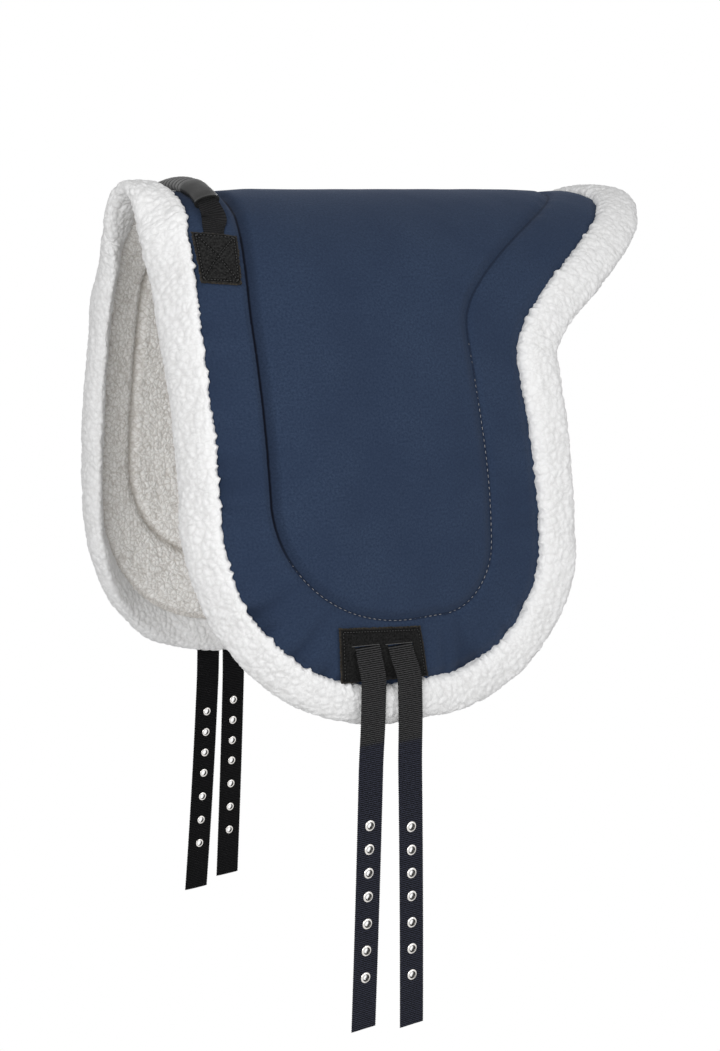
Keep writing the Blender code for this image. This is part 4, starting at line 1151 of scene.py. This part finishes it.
def strap(key, place, side):
    """Webbing of one strap, with picot edges and a punched hole for each eyelet."""
    length = eyelet_drops(key)[-1] + TIP_MARGIN
    columns = 26
    rows = int(length / STRAP_PITCH)
    obj = new_object("strap_webbing_" + key, two_layers(grid(columns, rows)), 50.0)
    mesh = obj.data
    cell = read_points(mesh)
    lower = cell[:, 2] > 0.5
    share = cell[:, 0] / columns
    start = SLOT_DROP - 0.0005
    s = start + (length - start) * cell[:, 1] / rows
    out, drift_x, z = strap_line(key, s)
    across = (share - 0.5) * STRAP_WIDTH
    at_edge = (cell[:, 0] < 0.5) | (cell[:, 0] > columns - 0.5)
    picot = np.where(cell[:, 1].astype(int) % 2 == 0, 0.00035, -0.00035)
    across += np.sign(across) * np.where(at_edge, picot, 0.0)
    lip = 1.0 - (2.0 * np.abs(share - 0.5)) ** 8
    half = 0.5 * STRAP_THICK * (0.45 + 0.55 * lip)
    cup = 0.0003 * (2.0 * share - 1.0) ** 2
    y = out + cup + np.where(lower, -half, half)
    points = np.stack([place[0] + drift_x + across, place[1] + side * y, place[2] + z], axis=-1)
    set_uv(mesh, np.stack([across, s], axis=-1))
    write_points(mesh, points)
    face_outwards(mesh, 50.0)

    punch = bmesh.new()
    hole = EYELET_BARREL + 0.0003
    for spot in eyelet_spots(key, place, side):
        bmesh.ops.create_cone(punch, cap_ends=True, segments=24, radius1=hole, radius2=hole, depth=0.012,
                              matrix=spot)
    cutter = new_object("punch_" + key, punch)
    cut = obj.modifiers.new("holes", "BOOLEAN")
    cut.operation = "DIFFERENCE"
    cut.solver = "EXACT"
    cut.object = cutter
    apply_all(obj)
    bpy.data.objects.remove(cutter)
    smooth_to(obj.data, 50.0)
    # The far straps take the darker copy of the webbing, painted shade.
    dress(obj, "strap" if side < 0.0 else "shaded_far_strap")
    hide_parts("strap_" + key)
    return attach(obj, "strap_" + key)


def apply_all(obj):
    """Replace an object's mesh by its evaluated one, without modifiers."""
    graph = bpy.context.evaluated_depsgraph_get()
    mesh = bpy.data.meshes.new_from_object(obj.evaluated_get(graph))
    obj.modifiers.clear()
    obj.data = mesh


def eyelets(key, place, side):
    """Nickel eyelets of one strap: rolled flange outside, barrel through, clinched ring behind."""
    half = 0.5 * STRAP_THICK
    bore, barrel, outer = EYELET_BORE, EYELET_BARREL, EYELET_OUTER
    profile = [(bore, -half - 0.0006), (bore, half + 0.0004), (bore + 0.0004, half + 0.0010),
               (bore + 0.0011, half + 0.00135), (outer - 0.0011, half + 0.0012),
               (outer - 0.0004, half + 0.0008),
               (outer, half + 0.0004), (outer, half + 0.0001), (barrel, half + 0.0001),
               (barrel, -half - 0.0001), (barrel + 0.0010, -half - 0.0001), (barrel + 0.0011, -half - 0.0006),
               (barrel + 0.0005, -half - 0.0010), (bore + 0.0004, -half - 0.0010)]
    bm = bmesh.new()
    for spot in eyelet_spots(key, place, side):
        start = len(bm.verts)
        verts = [bm.verts.new((r, 0.0, z)) for r, z in profile]
        edges = [bm.edges.new((a, verts[(i + 1) % len(verts)])) for i, a in enumerate(verts)]
        bmesh.ops.spin(bm, geom=verts + edges, cent=(0, 0, 0), axis=(0, 0, 1), angle=2.0 * math.pi,
                       steps=28, use_merge=True)
        bm.verts.ensure_lookup_table()
        fresh = bm.verts[start:]
        for face in {f for vert in fresh for f in vert.link_faces}:
            if face.calc_center_median().to_2d().length < bore + 0.0008:
                face.material_index = 1
        bmesh.ops.transform(bm, matrix=spot, verts=fresh)
    bmesh.ops.remove_doubles(bm, verts=bm.verts, dist=1e-5)
    bmesh.ops.recalc_face_normals(bm, faces=bm.faces)
    obj = new_object("eyelet_set_" + key, bm, 45.0)
    obj.data.materials.append(LOOKS["nickel"])
    obj.data.materials.append(LOOKS["bore"])
    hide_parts(*["eyelet_%s_%d" % (key, i + 1) for i in range(EYELETS)])
    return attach(obj, "strap_" + key)


def girth_straps():
    for prefix, side in SIDES:
        for end, shift in (("front", -0.5), ("rear", 0.5)):
            key = prefix + "_" + end
            centre = GIRTH_X[prefix] + shift * STRAP_SPACING
            place = drape(centre, side * slot_of(prefix, centre), PATCH_OUTER - GAP - 0.5 * STRAP_THICK)
            strap(key, place, side)
            eyelets(key, place, side)
            paint(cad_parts["tail_" + key], "webbing_inner")
        paint(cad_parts[prefix + "_handle_tail"], "webbing_inner")


# Handle

def bow(a):
    """Centre and upward normal of the handle's bow at angles a from its top, before it leans."""
    a = np.asarray(a, float)
    level = np.maximum(np.cos(a), 1e-6)
    z = HANDLE_RISE * level ** (2.0 * BOW_PEAK)
    run = HANDLE_HALF * level ** (2.0 - 2.0 * BOW_PEAK)
    fall = 2.0 * BOW_PEAK * HANDLE_RISE * np.sin(a)
    size = np.hypot(run, fall)
    up = np.stack([np.zeros_like(a), fall / size, run / size], axis=-1)
    return np.stack([np.zeros_like(a), HANDLE_HALF * np.sin(a), z], axis=-1), up


def lean(points, place=True):
    """From the handle's own upright frame to its place on the pad; place off turns directions."""
    c, s = math.cos(HANDLE_LEAN), math.sin(HANDLE_LEAN)
    x = points[..., 0] * c + points[..., 2] * s + (HANDLE_X if place else 0.0)
    z = -points[..., 0] * s + points[..., 2] * c + (HANDLE_AXIS if place else 0.0)
    return np.stack([x, points[..., 1], z], axis=-1)


def bow_angle(y):
    """Angle on the bow at a distance from the spine."""
    return math.asin(min(max(y / HANDLE_HALF, -1.0), 1.0))


def turned(up):
    """Directions of the width and the height of the handle's flattened section."""
    c, s = math.cos(GRIP_TURN), math.sin(GRIP_TURN)
    level = np.array([1.0, 0.0, 0.0])
    return level * c + up * s, up * c - level * s


def bow_tube(name, angles, radii, around, look, slants=0.0, grooves=None):
    """Tube of flattened sections along the bow; slants tilt the sections, more to the rear and top."""
    t = np.linspace(0.0, 2.0 * math.pi, around + 1)
    skew = (0.75 * np.cos(t) + 0.65 * np.sin(t))[None, :]
    a = np.asarray(angles)[:, None] + np.broadcast_to(slants, len(angles))[:, None] * skew
    centre, up = bow(a)
    r = np.asarray(radii)[:, None, None]
    wide, thick = turned(up)
    c, s = [(np.sign(f(t)) * np.abs(f(t)) ** 0.85)[None, :, None] for f in (np.cos, np.sin)]
    points = lean(centre + r * (GRIP_WIDE * wide * c + GRIP_FLAT * thick * s))
    along = np.asarray(angles)[:, None] * 0.08
    uv = np.stack(np.broadcast_arrays(t[None, :] * 0.009, along), axis=-1)
    values = None if grooves is None else np.broadcast_to(np.asarray(grooves)[:, None], (len(angles), around))
    return dress(tube(name, points[:, :-1], uv, values, 35.0), look)


def smooth_path(knots, steps):
    """Rows of numbers between the given rows, on a curve through them."""
    knots = np.asarray(knots)
    place = np.concatenate([[0.0], np.cumsum(np.linalg.norm(np.diff(knots[:, :3], axis=0), axis=1))])
    slope = np.gradient(knots, place, axis=0)
    out = []
    for k in range(len(knots) - 1):
        gap = place[k + 1] - place[k]
        t = np.arange(steps)[:, None] / steps
        out.append((2 * t ** 3 - 3 * t ** 2 + 1) * knots[k] + (t ** 3 - 2 * t ** 2 + t) * gap * slope[k]
                   + (3 * t ** 2 - 2 * t ** 3) * knots[k + 1] + (t ** 3 - t ** 2) * gap * slope[k + 1])
    out.append(knots[-1:])
    return np.concatenate(out)


# Handle webbing from under its patch up to the sleeve: x, arc length, depth, width, thickness
WEB_KNOTS = ((-0.2625, 0.1500, -0.0001, 0.0190, 0.0018), (-0.2615, 0.1330, -0.0001, 0.0195, 0.0018),
             (-0.2604, 0.1180, -0.0002, 0.0198, 0.0019), (-0.2574, 0.1045, -0.0008, 0.0228, 0.0021),
             (-0.2538, 0.0935, -0.0024, 0.0262, 0.0024))


def handle_band(end):
    """Webbing through the grip: flat under each patch, rising to the sleeves, rolled inside them."""
    knots = []
    for side in (-1.0, 1.0):
        rows = []
        for x, v, depth, width, thick in WEB_KNOTS:
            point = drape(x, side * v, depth)
            up = (drape(x, side * v, depth - 0.001) - point) / 0.001
            rows.append([*point, *up, width, thick])
        for turn, width, thick in ((end + 0.02, 0.0200, 0.0030), (end - 0.12, 0.0190, 0.0040)):
            centre, up = bow(side * turn)
            rows.append([*lean(centre), *lean(turned(up)[1], False), width, thick])
        if side > 0.0:
            rows.reverse()
        knots.append(rows)
    inner = []
    for turn in np.linspace(-end + 0.30, end - 0.30, 5):
        centre, up = bow(turn)
        inner.append([*lean(centre), *lean(turned(up)[1], False), 0.0150, 0.0040])
    path = smooth_path(knots[0] + inner + knots[1], 14)
    centre, up = path[:, None, :3], path[:, 3:6]
    along = np.gradient(path[:, :3], axis=0)
    across = np.cross(up, along)
    across /= np.linalg.norm(across, axis=1, keepdims=True)
    across *= np.sign(across[:, :1])
    up = np.cross(along, across)
    up /= np.linalg.norm(up, axis=1, keepdims=True)
    up *= np.sign((up * path[:, 3:6]).sum(axis=1, keepdims=True))
    t = np.linspace(0.0, 2.0 * math.pi, 37)
    c, s = np.cos(t), np.sin(t)
    w = 0.5 * path[:, 6:7] * np.sign(c) * np.abs(c) ** 0.4
    h = 0.5 * path[:, 7:8] * np.sign(s) * np.abs(s) ** 0.4
    points = centre + across[:, None, :] * w[..., None] + up[:, None, :] * h[..., None]
    length = np.concatenate([[0.0], np.cumsum(np.linalg.norm(np.diff(path[:, :3], axis=0), axis=1))])
    uv = np.stack([w, np.broadcast_to(length[:, None], w.shape)], axis=-1)
    band = dress(tube("handle_band", points[:, :-1], uv, None, 45.0), "webbing")
    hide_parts("handle_webbing")
    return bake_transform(band)


def handle():
    near, far = bow_angle(GRIP_FROM), bow_angle(GRIP_TO)
    angles = [near + 1e-4]
    radii = [TUBE_END]
    # The grooves value is painted shade: 1 in the valleys between the ribs, 0 on their crests.
    grooves = [1.0]
    for i in range(RIB_COUNT):
        for f, r in RIB_SHAPE:
            angles.append(near + (far - near) * (i + f) / RIB_COUNT)
            radii.append(GRIP_RADIUS - RIB_HEIGHT + RIB_HEIGHT * r)
            grooves.append(1.0 - r)
    angles.append(far - 1e-4)
    radii.append(TUBE_END)
    grooves.append(1.0)
    grip = bow_tube("ribbed_grip", angles, radii, 40, "rubber", grooves=grooves)
    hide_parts("handle_grip")
    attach(grip, "handle")

    end = bow_angle(SLEEVE_END)
    for prefix, side in SIDES:
        start = abs(near if side < 0.0 else far) + 0.003
        angles = [start, start, start + 0.010]
        radii = [TUBE_END, SLEEVE_RADIUS - 0.0004, SLEEVE_RADIUS]
        for f in np.linspace(0.06, 0.93, 16):
            angles.append(start + (end - start) * f)
            radii.append(SLEEVE_RADIUS + (SLEEVE_FLARE - SLEEVE_RADIUS) * f + 0.0002 * math.sin(9.0 * f))
        angles += [end - 0.012, end - 0.006, end, end, end - 0.03]
        radii += [SLEEVE_FLARE + lip for lip in (0.0005, 0.0006, 0.0003, -0.0012)] + [TUBE_END]
        slants = SLEEVE_SLANT * ease((np.array(angles) - start) / (end - start))
        sleeve = bow_tube(prefix + "_sleeve", [side * a for a in angles], radii, 44, "sleeve", side * slants)
        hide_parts(prefix + "_handle_sleeve")
        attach(sleeve, "handle")
    handle_band(end)


# Stage, light and camera

FLOOR_SIZE = 9.0
FLOOR_HEIGHT = -1.40
LIT_SPOT = (0.0, 0.0, -0.30)
LAMPS = (("key", (0.8, -2.6, 0.6), 1.6, 19.0),          # name, place, size, power
         ("fill", (-1.95, -1.95, 0.3), 1.4, 45.0),
         ("back", (0.9, 2.6, -0.1), 1.6, 34.0))
CAMERA_PLACE = (-1.0899, -1.6260, 0.0215)
CAMERA_WAY = (0.5476, 0.8368)   # level direction of view
FOCAL_PIXELS = 1736.0
HORIZON_PIXELS = 335.0          # the horizon lies this far above the middle of the photograph


def seen_directly(tree):
    """1 for rays from the camera and those mirrored or let through by the object."""
    rays = add(tree, "LightPath")
    mirrored = calc(tree, "MAXIMUM", rays.outputs["Is Glossy Ray"], rays.outputs["Is Transmission Ray"])
    return calc(tree, "MAXIMUM", rays.outputs["Is Camera Ray"], mirrored)


def white_when_seen(tree, lit, kind, target):
    """Show plain white in the picture, and light the object by the given shader."""
    white = add(tree, kind, Strength=1.0)
    white.inputs["Color"].default_value = (1.0, 1.0, 1.0, 1.0)
    mixer = add(tree, "MixShader")
    tree.links.new(seen_directly(tree), mixer.inputs[0])
    tree.links.new(lit.outputs[0], mixer.inputs[1])
    tree.links.new(white.outputs[0], mixer.inputs[2])
    tree.links.new(mixer.outputs[0], tree.nodes[target].inputs["Surface"])


def stage():
    bm = bmesh.new()
    bmesh.ops.create_grid(bm, x_segments=1, y_segments=1, size=FLOOR_SIZE)
    floor = new_object("floor", bm)
    floor.location.z = FLOOR_HEIGHT
    mat, tree, bsdf = shader("pale_floor", grey(0.60), 0.9)
    white_when_seen(tree, bsdf, "Emission", "Material Output")
    floor.data.materials.append(mat)


def sky_and_lamps():
    world = bpy.data.worlds.new("studio")
    bpy.context.scene.world = world
    world.use_nodes = True
    back = world.node_tree.nodes["Background"]
    back.inputs["Color"].default_value = (1.0, 1.0, 1.0, 1.0)
    back.inputs["Strength"].default_value = 0.45
    white_when_seen(world.node_tree, back, "Background", "World Output")
    for name, spot, size, power in LAMPS:
        data = bpy.data.lights.new(name, "AREA")
        data.shape = "SQUARE"
        data.size = size
        data.energy = power
        lamp = bpy.data.objects.new(name, data)
        lamp.location = spot
        lamp.rotation_mode = "QUATERNION"
        lamp.rotation_quaternion = (Vector(LIT_SPOT) - Vector(spot)).to_track_quat("-Z", "Y")
        bpy.context.scene.collection.objects.link(lamp)


def camera():
    data = bpy.data.cameras.new("camera")
    data.lens = 59.46
    data.sensor_width = 36.0
    data.clip_start = 0.05
    data.clip_end = 50.0
    obj = bpy.data.objects.new("camera", data)
    pitch = math.atan(HORIZON_PIXELS / FOCAL_PIXELS)
    obj.location = CAMERA_PLACE
    level = math.cos(pitch)
    forward = Vector((CAMERA_WAY[0] * level, CAMERA_WAY[1] * level, -math.sin(pitch)))
    obj.rotation_mode = "QUATERNION"
    obj.rotation_quaternion = forward.to_track_quat("-Z", "Y")
    bpy.context.scene.collection.objects.link(obj)
    bpy.context.scene.camera = obj


camera()
stage()
sky_and_lamps()
pad_halves()
handle_patches()
girth_patches()
girth_straps()
handle()
bpy.context.scene.view_settings.view_transform = "Standard"
